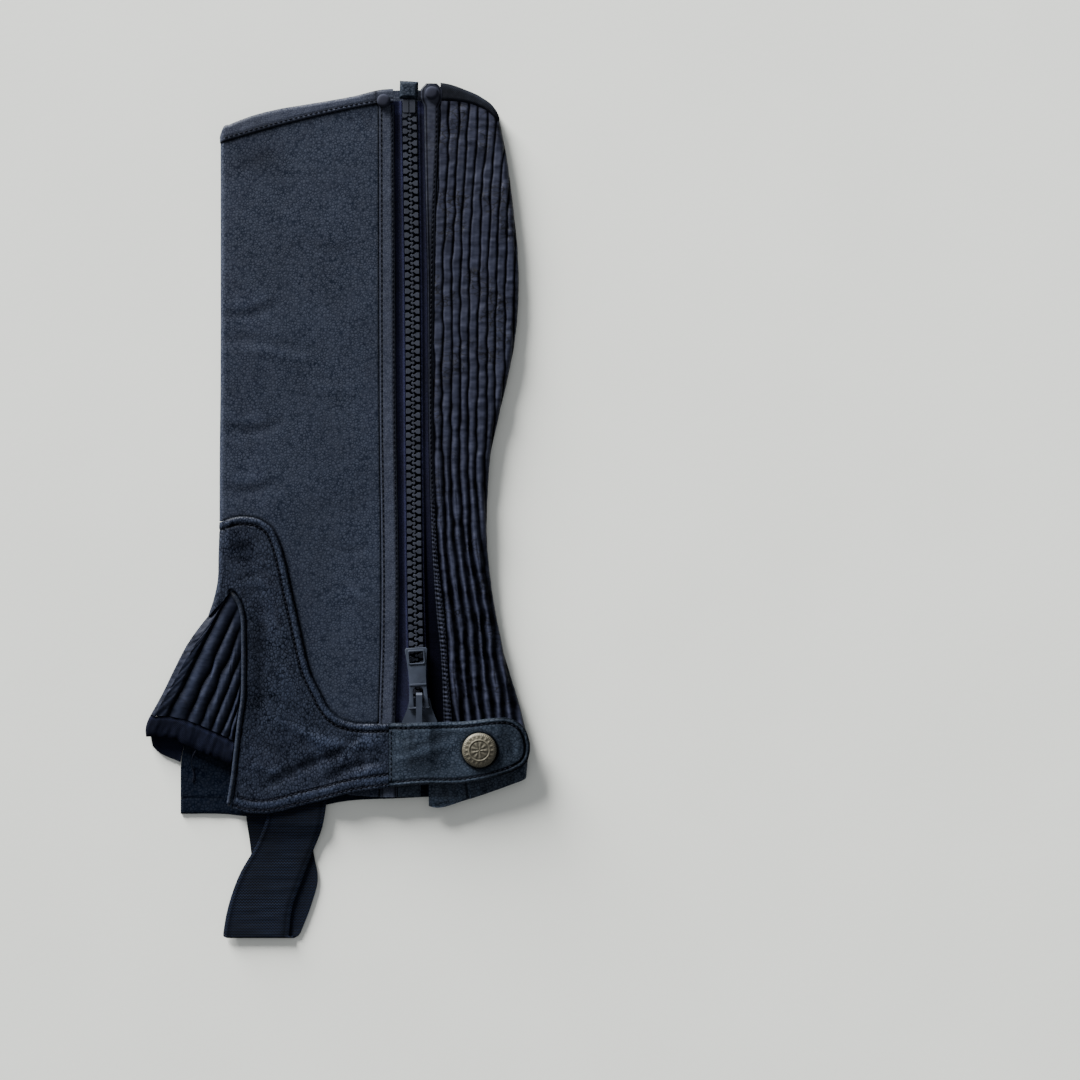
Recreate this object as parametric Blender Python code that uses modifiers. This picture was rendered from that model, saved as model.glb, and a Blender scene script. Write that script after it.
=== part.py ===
"""A leather half chap, laid flat on its side: a ribbed calf panel and a grained leg panel joined by a zip, with a
foot panel, an instep gusset, a strap that snaps shut and an elastic stirrup.

X runs from the shin fold to the calf fold, Y up the leg, Z up from the surface it lies on. The origin is under the
middle of the half chap. Sizes are in millimetres and become metres where a mesh is made.
"""

import math

import bmesh
import bpy
import numpy as np

MM = 0.001

# Cloth: the two leaves of the flattened leg lie on each other, parted by a narrow gap.
LEATHER = 1.4
SEAM = 0.3
LEAF_GAP = 3.4
TOP_INSIDE = LEATHER + LEAF_GAP
TOP_OUTSIDE = TOP_INSIDE + LEATHER
FOLD_RADIUS = TOP_OUTSIDE / 2
LAP_RISE = LEATHER + SEAM

# The two long folds, as rows of (y, x of the outermost line).
SHIN_FOLD = [
    (222.0, -68.4), (92.9, -68.4), (17.5, -69.0), (-5.7, -69.0),
    (-26.0, -69.6), (-41.6, -70.2), (-52.1, -72.5), (-61.0, -75.5),
]
# The leg panel's own fold runs straight on under the foot panel.
LEG_FOLD = [row for row in SHIN_FOLD if row[0] > -6.0]
CALF_FOLD = [
    (231.0, 92.5), (208.9, 96.9), (179.9, 100.9), (150.9, 103.9), (121.9, 104.4), (92.9, 101.5), (63.9, 95.1),
    (34.9, 88.7), (11.5, 86.4), (-23.1, 86.4), (-57.9, 90.5), (-92.7, 98.6), (-110.1, 103.8), (-121.7, 107.3),
    (-136.2, 110.2), (-155.9, 109.3),
]
# The seam on the underside between the leg panel and the calf panel, as rows of (y, x).
BACK_SEAM = [
    (232.1, 64.5), (177.6, 71.5), (139.3, 74.6), (92.9, 71.7), (63.9, 65.3), (34.9, 59.5), (5.9, 57.6),
    (-23.1, 57.6), (-57.9, 61.6), (-92.7, 69.8), (-110.1, 75.0), (-123.4, 78.6), (-139.1, 81.5), (-165.2, 81.5),
]

# Top edges, as rows of (x, y): each binding lies between its lower and its upper edge.
BINDING_RISE = 0.8
LEG_TOP_UPPER = [
    (-68.4, 217.5), (-66.5, 221.8), (-62.6, 223.6), (-48.7, 228.9), (-36.0, 232.1), (-17.4, 235.3),
    (8.1, 239.7), (26.7, 243.9), (34.0, 244.2), (80.0, 244.0),
]
LEG_TOP_LOWER = [(-68.4, 212.9), (-48.7, 218.8), (-23.2, 225.8), (1.7, 231.6), (22.0, 235.3), (34.0, 236.6), (80.0, 236.6)]
LEG_BINDING_END = 32.0
CALF_TOP_UPPER = [(58.0, 248.0), (65.0, 246.8), (73.1, 244.0), (83.5, 239.2), (90.0, 234.2), (92.5, 230.9)]
CALF_TOP_LOWER = [(58.0, 237.4), (70.2, 236.9), (80.6, 234.5), (88.2, 230.3), (92.5, 226.0)]

# The arched upper edge of the foot panels, as rows of (x, y), and the leg panel's edge hidden under it.
ARCH = [
    (-69.6, -7.4), (-66.0, -6.2), (-61.2, -4.5), (-51.0, -3.9), (-42.3, -6.8), (-36.5, -12.6), (-32.5, -22.5),
    (-29.6, -34.1), (-27.3, -45.1), (-23.2, -63.1), (-19.7, -79.3), (-15.7, -94.4), (-9.6, -106.9),
    (-4.6, -115.9), (6.4, -122.6), (24.9, -123.6), (82.0, -123.6),
]
LEG_LAP = [
    (-75.0, -7.1), (-66.0, -5.9), (-62.6, -4.7), (-59.2, -11.5), (-52.8, -11.5), (-47.0, -13.2), (-42.9, -17.3),
    (-39.4, -24.8), (-36.5, -35.2), (-33.6, -46.8), (-29.6, -64.2), (-26.1, -81.1), (-22.0, -96.7),
    (-15.7, -110.1), (-10.4, -119.3), (-4.6, -133.3), (1.2, -153.6), (4.6, -165.0), (24.5, -166.3),
]
LAP_FADE = 14.0
# Where the leg panel's columns lie: on its upper leaf, and on both panels along the arch of the lower leaf.
UPPER_COLUMNS = [14.0, 4.6, 1.2, -4.6, -10.4, -15.7, -22.0, -26.1, -29.6, -33.6, -36.5, -39.4, -42.9, -47.0, -52.8,
                 -59.2, -62.6]
ARCH_COLUMNS = [-65.9, -60.6, -56.0, -51.0, -46.5, -42.3, -39.2, -36.5, -34.3, -32.5, -29.6, -27.3, -23.2, -19.7,
                -15.7, -9.6, -4.6, 1.0, 6.4, 24.9]

# The zip, closed, with its slider at the ankle: rows of (y, x).
CHAIN = [(231.0, 41.6), (145.1, 43.0), (5.9, 44.1), (-63.7, 45.0), (-81.1, 45.5), (-115.9, 47.4), (-160.0, 47.8)]
CHAIN_WIDTH = 8.3
TEETH_LEVELS = (2.8, 6.0)
TAPE_LEVELS = (3.5, 4.5)
TAPE_TOP = 237.4
SHIN_TAPE_END = -166.0
CALF_TAPE_END = -153.4
FACING_LEVELS = (5.2, 6.8)
SHIN_FACING_LEFT = [(234.9, 23.8), (63.9, 24.1), (-81.1, 24.9), (-121.7, 23.8), (-166.3, 24.4)]
SHIN_FACING_RIGHT = [(234.9, 32.8), (63.9, 33.9), (-81.1, 35.1), (-121.7, 33.6), (-157.0, 34.8)]
SHIN_FACING_FOOT = (48.1, -157.5, -166.3)
CALF_FACING_LEFT = [
    (247.2, 49.6), (208.9, 50.2), (145.1, 51.6), (5.9, 53.4), (-28.9, 54.8), (-63.7, 57.3), (-81.1, 59.2),
    (-118.8, 60.9), (-153.4, 61.5),
]
CALF_FACING_RIGHT = [
    (247.2, 59.0), (211.8, 58.4), (179.9, 57.0), (145.1, 56.1), (5.9, 56.6), (-28.9, 58.6), (-63.7, 62.6),
    (-98.5, 64.8), (-118.8, 66.6), (-153.4, 69.0),
]

# The calf panel's ribs, counted from the zip: rows of (y, distance from rib to rib).
RIB_PITCH = [(237.0, 5.7), (178.0, 5.2), (64.0, 5.1), (6.0, 4.8), (-58.0, 5.4), (-118.0, 6.0), (-156.0, 6.2)]
RIB_COUNT = 10
RIB_HEIGHT = 1.3
RIB_SHAPE = [(0.0, 0.0), (0.22, 0.8), (0.5, 1.0), (0.78, 0.8)]

# The corded front edge of the foot panel, as rows of (y, x of the cord's middle).
PIPING = [
    (-47.8, -61.6), (-53.8, -57.4), (-60.8, -55.4), (-75.3, -54.7), (-92.7, -54.6), (-109.5, -55.1),
    (-121.7, -56.8), (-139.1, -58.9), (-156.5, -60.9), (-171.5, -63.4),
]
PIPING_RADIUS = 1.25
PIPING_LEVEL = 5.9
PIPING_REACH = PIPING_RADIUS + SEAM

# The foot panel's hem from its front corner to the strap, and where strap and panel meet.
FOOT_HEM = [
    (-61.8, -172.8), (-54.5, -175.0), (-41.2, -175.8), (-30.7, -173.9), (-22.0, -171.5), (-8.1, -168.1),
    (4.1, -164.6), (16.2, -162.3), (29.6, -160.5),
]
STRAP_SEAM = 29.6
APEX = (-62.9, -47.4)
TAIL = (-75.5, -61.0)
INNER_FRONT = [(-61.6, -48.5), (-77.1, -98.5), (-89.9, -136.2), (-91.7, -147.2), (-91.9, -160.0), (-91.9, -175.0)]
INNER_HEM = [
    (-90.9, -176.6), (-65.5, -176.8), (-54.5, -177.9), (-22.0, -174.4), (4.1, -169.2), (36.0, -167.5),
    (81.3, -165.2),
]

# The instep gusset: its fold from the foot panel's tail to its bound edge, and its rib lines, top and bottom.
GUSSET_LEVEL = 4.9
GUSSET_WALL = 1.3
GUSSET_RADIUS = GUSSET_LEVEL / 2
GUSSET_RIB_HEIGHT = 1.4
GUSSET_FOLD = [(-75.7, -61.5), (-81.2, -68.3), (-87.9, -77.9), (-93.7, -89.0), (-103.8, -109.5), (-108.7, -118.2)]
GUSSET_RIB_TOPS = [-56.1, -67.1, -84.5, -99.6, -111.8, -124.0]
GUSSET_EDGE = [(-108.7, -118.2), (-98.2, -119.3), (-87.6, -121.7), (-80.0, -124.6), (-73.7, -127.5), (-68.4, -129.8),
               (-63.8, -132.1), (-60.1, -134.0)]
GUSSET_BINDING_RISE = 0.6
GUSSET_BINDING_FOLD = [(-108.9, -118.6), (-110.9, -123.6), (-111.8, -128.0), (-111.6, -131.6)]
GUSSET_BINDING_LOWER = [(-109.2, -131.0), (-98.0, -131.8), (-89.3, -135.6), (-76.0, -141.4), (-62.2, -147.2)]
UNDER_BINDING_LOWER = [(-109.2, -131.4), (-108.4, -137.2), (-102.7, -142.0), (-92.2, -146.4)]
UNDER_GUSSET_END = -128.4

# The closing strap, as rows of (x, y) for its two edges, and its underside's height over what it crosses.
STRAP_WALL = 2.2
STRAP_UPPER = [
    (29.9, -123.4), (47.6, -122.8), (74.2, -122.2), (91.9, -120.3), (98.0, -120.2), (102.5, -121.6),
    (107.3, -125.1), (110.2, -130.2), (111.5, -135.5),
]
STRAP_LOWER = [
    (29.9, -160.5), (47.6, -158.8), (74.2, -158.0), (91.9, -154.1), (103.2, -150.1), (108.0, -147.0),
    (110.5, -143.2), (111.5, -139.0),
]
STRAP_HEIGHTS = [
    (29.9, 7.1), (35.0, 7.3), (39.5, 9.2), (42.0, 10.7), (53.5, 10.7), (58.5, 9.0), (66.0, 8.1), (111.5, 8.0),
]
STRAP_BASE_HEIGHTS = [(29.9, 7.1), (38.0, 7.3), (47.0, 8.0), (66.0, 8.1), (111.5, 8.0)]
CROWN_SHADOW = (-133.0, -156.0)

# The hem band under the calf panel, as rows of (x, y).
CALF_HEM_UPPER = [(52.2, -156.5), (74.2, -153.0), (91.9, -147.2), (110.2, -140.8)]
CALF_HEM_LOWER = [(52.2, -171.4), (54.5, -172.1), (74.2, -168.1), (91.9, -162.3), (110.2, -155.6)]
UNDER_HEM_UPPER = [(82.0, -150.5), (110.2, -140.8)]
UNDER_HEM_LOWER = [(82.0, -165.2), (110.2, -155.6)]

# The elastic stirrup: its four edges as rows of (y, x), front run and back run.
ELASTIC = 1.2
FRONT_LEFT = [(-157.0, -41.2), (-179.1, -41.8), (-194.2, -47.6), (-211.6, -57.4), (-223.7, -62.1), (-234.2, -65.0),
              (-248.0, -67.3)]
FRONT_RIGHT = [(-157.0, -5.4), (-171.0, -7.0), (-184.3, -9.3), (-198.8, -15.1), (-218.5, -22.6), (-229.0, -26.4),
               (-248.0, -29.0)]
BACK_LEFT = [(-157.0, -54.2), (-178.5, -53.4), (-198.2, -51.0), (-215.0, -49.9), (-229.0, -53.4), (-248.0, -60.9)]
BACK_RIGHT = [(-157.0, -15.7), (-178.5, -15.7), (-200.0, -14.5), (-215.0, -12.2), (-229.0, -15.7), (-248.0, -23.0)]
STIRRUP_END = -248.9
STIRRUP_DROP = (-179.5, -194.0)

# Metal and moulded parts.
RIVET_RADIUS = 3.8
SHIN_RIVET = (26.6, 237.0, 7.3)
CALF_RIVET = (54.5, 241.6, 7.1)
SNAP_CENTRE = (82.2, -138.7)
SNAP_RADIUS = 10.0
SLIDER_X = 47.5
SLIDER_TOP = -108.9
SLIDER_PLATE = [(5.8, 0.0), (7.2, 6.4), (10.1, 13.3), (10.4, 17.0), (8.6, 20.6), (5.0, 21.5)]
SLIDER_LEVELS = (1.7, 2.5, 6.3, 7.2)
WEDGE_TOP = -124.6
CROWN_WIDTH = 3.5
CROWN_SPAN = (-105.7, -130.0)
CROWN_LEVELS = (9.3, 10.3)
PULL_AXIS = (47.3, -114.5, 8.3)
PULL_WALL = 1.2
PULL_BAR_RADIUS = 0.7
PULL_REST_TILT = -2.35


def clear_scene():
    for old in list(bpy.data.objects):
        bpy.data.objects.remove(old, do_unlink=True)


def new_collection(name, hidden=False):
    made = bpy.data.collections.new(name)
    made.hide_render = hidden
    bpy.context.scene.collection.children.link(made)
    return made


def new_material(name, colour, roughness, metallic=0.0):
    made = bpy.data.materials.new(name)
    made.use_nodes = True
    shader = made.node_tree.nodes["Principled BSDF"]
    shader.inputs["Base Color"].default_value = (*colour, 1.0)
    shader.inputs["Roughness"].default_value = roughness
    shader.inputs["Metallic"].default_value = metallic
    return made


clear_scene()
CHAP = new_collection("half_chap")
HELPERS = new_collection("cutters", hidden=True)

LEG_LEATHER = new_material("leg_leather", (0.022, 0.027, 0.037), 0.55)
FOOT_LEATHER = new_material("foot_leather", (0.016, 0.020, 0.029), 0.5)
RIB_LEATHER = new_material("rib_leather", (0.017, 0.020, 0.030), 0.4)
STRAP_LEATHER = new_material("strap_leather", (0.018, 0.024, 0.032), 0.5)
WOVEN_TAPE = new_material("woven_tape", (0.006, 0.008, 0.015), 0.9)
ELASTIC_WEAVE = new_material("elastic_weave", (0.006, 0.008, 0.014), 0.95)
MOULDED = new_material("moulded_plastic", (0.030, 0.036, 0.050), 0.45)
PAINTED_METAL = new_material("painted_metal", (0.045, 0.055, 0.075), 0.4, 0.3)
ANTIQUE_BRASS = new_material("antique_brass", (0.16, 0.14, 0.10), 0.45, 0.9)


# ---------------------------------------------------------------- curves


def smooth(table, at):
    """Reads a smooth curve through the (key, value) rows of a table, level past its ends."""
    keys, values = np.array(sorted(table), float).T
    at = np.clip(at, keys[0], keys[-1])
    slopes = np.gradient(values, keys)
    i = np.clip(np.searchsorted(keys, at, side="right") - 1, 0, len(keys) - 2)
    width = keys[i + 1] - keys[i]
    t = (at - keys[i]) / width
    start = (2 * t**3 - 3 * t**2 + 1) * values[i] + (t**3 - 2 * t**2 + t) * width * slopes[i]
    end = (3 * t**2 - 2 * t**3) * values[i + 1] + (t**3 - t**2) * width * slopes[i + 1]
    return start + end


def straight(table, at):
    """Reads straight lines between the (key, value) rows of a table, level past its ends."""
    keys, values = np.array(sorted(table), float).T
    return np.interp(at, keys, values)


def path(points, shares):
    """Points of a smooth curve through the given ones, at shares from 0 to 1 of its length."""
    points = np.array(points, float)
    run = np.concatenate([[0.0], np.cumsum(np.linalg.norm(np.diff(points, axis=0), axis=1))])
    at = np.asarray(shares) * run[-1]
    return np.stack([smooth(list(zip(run, axis)), at) for axis in points.T], axis=1)


def step(low, high, at):
    """0 up to low, 1 from high on, and a smooth rise between."""
    t = np.clip((at - low) / (high - low), 0.0, 1.0)
    return t * t * (3 - 2 * t)


def fold_place(run, radius, depth=0.0, rise=0.0):
    """(distance in from the fold, height) of a wall folded to twice the radius. Run is the way along its outer face
    from the fold's outermost line, above it where positive and below it where negative."""
    quarter = math.pi * radius / 2
    if run > quarter:
        return radius + run - quarter, 2 * radius + rise - depth
    if run < -quarter:
        return radius - run - quarter, depth
    angle = run / radius
    reach = radius - depth + rise * (1 + math.sin(angle)) / 2
    return radius - reach * math.cos(angle), radius + reach * math.sin(angle)


def run_for(distance, radius):
    """The run at which the upper leaf of a folded wall lies this far in from the fold."""
    if distance >= radius:
        return math.pi * radius / 2 + distance - radius
    return radius * math.acos(1 - distance / radius)


# ---------------------------------------------------------------- making solids


def add_mesh(name, build, material, collection=None):
    bmesh.ops.recalc_face_normals(build, faces=build.faces)
    mesh = bpy.data.meshes.new(name)
    build.to_mesh(mesh)
    build.free()
    mesh.shade_smooth()
    mesh.set_sharp_from_angle(angle=math.radians(40))
    mesh.materials.append(material)
    made = bpy.data.objects.new(name, mesh)
    (collection or CHAP).objects.link(made)
    return made


def wall(name, outer, inner, material, ratio=1):
    """A closed cloth wall between its outer and inner points, which are columns of rows. One column in each ratio
    of the outer ones has an inner column."""
    build = bmesh.new()
    outside = [[build.verts.new([c * MM for c in p]) for p in column] for column in outer]
    inside = [[build.verts.new([c * MM for c in p]) for p in column] for column in inner]
    rows = len(outside[0])
    for columns in (outside, inside):
        for left, right in zip(columns, columns[1:]):
            for row in range(rows - 1):
                build.faces.new([left[row], right[row], right[row + 1], left[row + 1]])
    for end in (0, -1):
        for row in range(rows - 1):
            build.faces.new([outside[end][row], inside[end][row], inside[end][row + 1], outside[end][row + 1]])
    for row in (0, rows - 1):
        for at in range(len(inside) - 1):
            rim = [outside[at * ratio + k][row] for k in range(ratio + 1)]
            build.faces.new(rim + [inside[at + 1][row], inside[at][row]])
    return add_mesh(name, build, material)


def flat_piece(name, outline, bottom, top, material, collection=None):
    """A flat piece cut to an outline of (x, y) points, between two heights."""
    build = bmesh.new()
    ring = [build.verts.new((x * MM, y * MM, bottom * MM)) for x, y in outline]
    face = build.faces.new(ring)
    raised = bmesh.ops.extrude_face_region(build, geom=[face])
    corners = [v for v in raised["geom"] if isinstance(v, bmesh.types.BMVert)]
    bmesh.ops.translate(build, verts=corners, vec=(0, 0, (top - bottom) * MM))
    return add_mesh(name, build, material, collection)


def soften(made, width, segments=2):
    """Rounds the sharp edges of a hard piece."""
    bevel = made.modifiers.new("rounded_edges", "BEVEL")
    bevel.width = width * MM
    bevel.segments = segments
    bevel.limit_method = "ANGLE"
    bevel.angle_limit = math.radians(40)


def turned(name, profile, place, material, steps=32):
    """A round piece turned from (radius, height) points that run from its middle down its outer side."""
    mesh = bpy.data.meshes.new(name)
    points = [(r * MM, 0.0, z * MM) for r, z in profile]
    mesh.from_pydata(points, [(i, i + 1) for i in range(len(points) - 1)], [])
    mesh.materials.append(material)
    made = bpy.data.objects.new(name, mesh)
    made.location = [c * MM for c in place]
    CHAP.objects.link(made)
    screw = made.modifiers.new("turned", "SCREW")
    screw.steps = screw.render_steps = steps
    screw.use_merge_vertices = True
    screw.merge_threshold = 0.00002
    return made


def join_to(made, other):
    """Joins a helper solid to a piece."""
    other.hide_render = True
    other.display_type = "WIRE"
    union = made.modifiers.new("with_" + other.name, "BOOLEAN")
    union.operation = "UNION"
    union.object = other


# ---------------------------------------------------------------- folded panels


def under_arch(x):
    """The arch on the lower leaf, drawn with straight lines between the columns of both panels."""
    return straight([(at, float(smooth(ARCH, at))) for at in ARCH_COLUMNS] + [(82.0, ARCH[-1][1])], x)


def under_leg_edge(x):
    """The leg panel's edge on the lower leaf, a seam's width off the arch."""
    slope = (under_arch(x + 0.5) - under_arch(x - 0.5))
    return under_arch(x) + SEAM * math.sqrt(1 + slope * slope)


def column_points(run, side, fold, upper, lower, rows, radius=FOLD_RADIUS, rise=0.0, rise_at=None):
    """One column of a panel folded at a long fold: its outer and inner points, from the upper edge to the lower.
    Run may be a function of y. Side is 1 where the panel lies to +X of its fold, and -1 where it lies to -X."""
    run_at = run if callable(run) else lambda y: run

    def x_at(y):
        return smooth(fold, y) + side * fold_place(run_at(y), radius)[0]

    start = end = 0.0
    for _ in range(15):
        start, end = upper(x_at(start)), lower(x_at(end))
    outer, inner = [], []
    for share in np.linspace(0, 1, rows):
        y = start + (end - start) * share
        lift = rise_at(run_at(y), y) if rise_at else rise
        for points, depth, up in ((outer, 0.0, lift), (inner, LEATHER, 0.0)):
            distance, z = fold_place(run_at(y), radius, depth, up)
            points.append((smooth(fold, y) + side * distance, y, z))
    return outer, inner


def around_fold(start, turns, end, count_top, count_bottom, radius=FOLD_RADIUS):
    """Runs for a panel's columns, from start on the upper leaf, round the fold, to end on the lower leaf."""
    quarter = math.pi * radius / 2
    top = np.linspace(start, quarter, count_top + 1)[:-1]
    arc = np.linspace(quarter, -quarter, turns + 1)
    bottom = np.linspace(-quarter, end, count_bottom + 1)[1:]
    return list(top) + list(arc) + list(bottom)


def make_leg_panel():
    """The grained panel. Its upper leaf ends at the zip's facing, its lower leaf at the back seam."""
    rows = 24
    quarter = math.pi * FOLD_RADIUS / 2
    fold_x = smooth(LEG_FOLD, -50.0)

    def to_facing(y):
        return run_for(smooth(SHIN_FACING_LEFT, y) - SEAM - smooth(LEG_FOLD, y), FOLD_RADIUS)

    def to_back_seam(y):
        return -run_for(smooth(BACK_SEAM, y) - SEAM / 2 - smooth(LEG_FOLD, y), FOLD_RADIUS)

    def top(x):
        return smooth(LEG_TOP_LOWER, x) - SEAM

    def hidden_edge(x):
        return straight(LEG_LAP, x)

    upper_runs = [to_facing] + [run_for(x - fold_x, FOLD_RADIUS) for x in UPPER_COLUMNS]
    upper_runs += list(np.linspace(quarter, -quarter, 7))
    under_runs = [-run_for(x - fold_x, FOLD_RADIUS) for x in ARCH_COLUMNS[1:]] + [to_back_seam]
    columns = [column_points(run, 1, LEG_FOLD, top, hidden_edge, rows) for run in upper_runs]
    columns += [column_points(run, 1, LEG_FOLD, top, under_leg_edge, rows) for run in under_runs]
    outer, inner = zip(*columns)
    wall("leg_panel", outer, inner, LEG_LEATHER)


def rib_rise(run_from_zip, y):
    """How far a rib stands proud at this distance from the calf panel's zip edge."""
    phase = run_from_zip / smooth(RIB_PITCH, y)
    if phase >= RIB_COUNT:
        return 0.0
    return RIB_HEIGHT * straight(RIB_SHAPE + [(1.0, 0.0)], phase % 1.0)


def make_calf_panel():
    """The ribbed panel: ribs on its upper leaf and round the calf fold, plain inside and below."""
    quarter = math.pi * FOLD_RADIUS / 2

    def whole_run(y):
        return run_for(smooth(CALF_FOLD, y) - smooth(CALF_FACING_RIGHT, y) - SEAM, FOLD_RADIUS)

    def back_run(y):
        return -run_for(smooth(CALF_FOLD, y) - smooth(BACK_SEAM, y) - SEAM / 2, FOLD_RADIUS)

    def upper(x):
        return smooth(CALF_TOP_LOWER, x) - SEAM

    def lower(x):
        return smooth(CALF_HEM_UPPER, x) + 2 * SEAM

    def lift(run, y):
        fade = 1 - step(-quarter, quarter * 0.1, -run - quarter * 0.2) if run < quarter else 1.0
        return rib_rise(whole_run(y) - run, y) * max(fade, 0.0)

    runs = []
    for rib in range(RIB_COUNT):
        for part, _ in RIB_SHAPE:
            runs.append(lambda y, k=rib + part: whole_run(y) - k * smooth(RIB_PITCH, y))
    def last(y):
        return whole_run(y) - RIB_COUNT * smooth(RIB_PITCH, y)

    for share in (0.0, 0.2, 0.4, 0.7, 1.0):
        runs.append(lambda y, s=share: last(y) + (back_run(y) - last(y)) * s)
    columns = [column_points(run, -1, CALF_FOLD, upper, lower, 27, rise_at=lift) for run in runs]
    outer, inner = zip(*columns)
    wall("calf_panel", outer, inner[::len(RIB_SHAPE)], RIB_LEATHER, len(RIB_SHAPE))


def make_binding(name, fold, side, start, end, upper, lower, material):
    """A raised band along a top edge, from start on the upper leaf to end on the lower one."""
    runs = around_fold(run_for(start, FOLD_RADIUS), 6, -run_for(end, FOLD_RADIUS), 10, 6)
    columns = [column_points(run, side, fold, upper, lower, 3, rise=BINDING_RISE) for run in runs]
    outer, inner = zip(*columns)
    wall(name, outer, inner, material)


def make_bindings():
    make_binding("binding_leg", SHIN_FOLD, 1, LEG_BINDING_END + 68.4, 64.5 + 68.4,
                 lambda x: smooth(LEG_TOP_UPPER, x), lambda x: smooth(LEG_TOP_LOWER, x), LEG_LEATHER)
    make_binding("binding_calf", CALF_FOLD, -1, 92.5 - 59.5, 92.5 - 66.0,
                 lambda x: smooth(CALF_TOP_UPPER, x), lambda x: smooth(CALF_TOP_LOWER, x), WOVEN_TAPE)


def make_calf_hem():
    """The plain band under the ribs, hidden in part by the strap."""
    runs = around_fold(run_for(110.2 - 53.6, FOLD_RADIUS), 6, -run_for(110.2 - 82.7, FOLD_RADIUS), 8, 3)
    columns = []
    for run in runs:
        edges = (CALF_HEM_UPPER, CALF_HEM_LOWER) if run > 0 else (UNDER_HEM_UPPER, UNDER_HEM_LOWER)
        columns.append(column_points(run, -1, CALF_FOLD, lambda x, e=edges[0]: smooth(e, x),
                                     lambda x, e=edges[1]: smooth(e, x), 4))
    outer, inner = zip(*columns)
    wall("calf_hem", outer, inner, STRAP_LEATHER)


# ---------------------------------------------------------------- foot


def lap_rise(x, y):
    """How far the foot panel is lifted by the leg panel and the zip's facing under it."""
    edge = path([row for row in LEG_LAP if row[0] > -66.0], np.linspace(0, 1, 160))
    distance = np.min(np.hypot(edge[:, 0] - x, edge[:, 1] - y))
    if y > straight(LEG_LAP, x):
        distance = 0.0
    lift = LAP_RISE * (1 - step(4.0, LAP_FADE, distance))
    over_facing = (FACING_LEVELS[1] - TOP_OUTSIDE) * step(15.0, 22.0, x)
    return (lift + over_facing) * step(-66.5, -62.8, x)


def piping_side(y, side):
    """A point beside the cord, a seam's width clear of it: side is 1 on the foot panel's side, -1 on the gusset's."""
    slope = smooth(PIPING, y + 0.5) - smooth(PIPING, y - 0.5)
    return (smooth(PIPING, y) + side * PIPING_REACH * math.sqrt(1 + slope * slope), y)


def tail_seam_y(distance):
    """Where the seam of tail and gusset crosses the line this far in from the shin fold."""
    ys = np.linspace(TAIL[1], APEX[1], 60)
    xs = np.linspace(TAIL[0], APEX[0], 60)
    return float(np.interp(distance, xs - smooth(SHIN_FOLD, ys), ys))


def make_foot_panel_outer():
    """The arched overlay. It wraps the shin fold, and its tail ends in the seam with the gusset."""
    rows = 10
    quarter = math.pi * FOLD_RADIUS / 2
    columns = []
    for run in [-quarter - 5.0, -quarter - 2.5] + list(np.linspace(-quarter, quarter, 7)):
        distance = fold_place(run, FOLD_RADIUS)[0]
        columns.append(column_points(run, 1, SHIN_FOLD, lambda x: smooth(ARCH, x),
                                     lambda x, d=distance: tail_seam_y(d) + 2 * SEAM, rows))
    arch_shares = [0.0, 0.02, 0.05, 0.08, 0.12, 0.16, 0.2, 0.24, 0.28, 0.32, 0.36, 0.41, 0.46, 0.51, 0.56, 0.6,
                   0.64, 0.68, 0.72, 0.76, 0.8, 0.84, 0.88, 0.91, 0.94, 0.97, 1.0]
    arch = path([(x, smooth(ARCH, x)) for x in ARCH_COLUMNS[:-1]] + [(STRAP_SEAM, -123.6)],
                [0.018 + 0.982 * share for share in arch_shares])
    tail = [(-67.6, -51.6), (-65.2, -48.6), (-62.8, -46.0), (-59.4, -46.2)]
    front = [piping_side(y, 1) for y in (-51.5, -58, -66, -75, -85, -96, -107, -119, -131, -144, -157)]
    hem = path(FOOT_HEM, np.linspace(0, 1, len(arch) - len(tail) - len(front)))
    opposite = np.array(tail + front + [tuple(p) for p in hem])
    for start, end in zip(arch, opposite):
        outer = []
        for share in np.linspace(0, 1, rows):
            x, y = start + (end - start) * share
            outer.append((x, y, TOP_OUTSIDE + lap_rise(x, y)))
        columns.append((outer, [(x, y, z - LEATHER) for x, y, z in outer]))
    outer, inner = zip(*columns)
    wall("foot_panel_outer", outer, inner, FOOT_LEATHER)


def make_foot_panel_inner():
    """The same overlay on the underside, flat, with its corner showing past the outer one."""
    arch = [(x, under_arch(x)) for x in ARCH_COLUMNS[1:]]
    back = [(smooth(BACK_SEAM, y) - SEAM / 2, y) for y in (-123.8, -135.0, -150.0)]
    outline = arch + back + [(81.3, -165.2)]
    outline += [tuple(p) for p in path(INNER_HEM, np.linspace(0, 1, 12))][::-1][1:]
    outline += [tuple(p) for p in path(INNER_FRONT, np.linspace(0, 1, 10))][::-1]
    flat_piece("foot_panel_inner", outline, 0.0, LEATHER, FOOT_LEATHER)


def make_piping():
    curve = bpy.data.curves.new("foot_piping", "CURVE")
    curve.dimensions = "3D"
    curve.bevel_depth = PIPING_RADIUS * MM
    curve.bevel_resolution = 2
    curve.use_fill_caps = True
    spline = curve.splines.new("POLY")
    ys = np.linspace(PIPING[0][0], PIPING[-1][0], 26)
    spline.points.add(len(ys) - 1)
    for point, y in zip(spline.points, ys):
        point.co = (smooth(PIPING, y) * MM, y * MM, PIPING_LEVEL * MM, 1.0)
    curve.materials.append(LEG_LEATHER)
    CHAP.objects.link(bpy.data.objects.new("foot_piping", curve))


# ---------------------------------------------------------------- gusset


def slanted_place(fold_point, inward, run, radius, depth, rise=0.0):
    """A point of a wall folded along a slanted line, with the inward direction at this point of the fold."""
    distance, z = fold_place(run, radius, depth, rise)
    return (fold_point[0] + inward[0] * distance, fold_point[1] + inward[1] * distance, z)


def inner_front_x(y):
    """The front edge of the inner foot panel."""
    return smooth([(row[1], row[0]) for row in INNER_FRONT], y)


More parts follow.
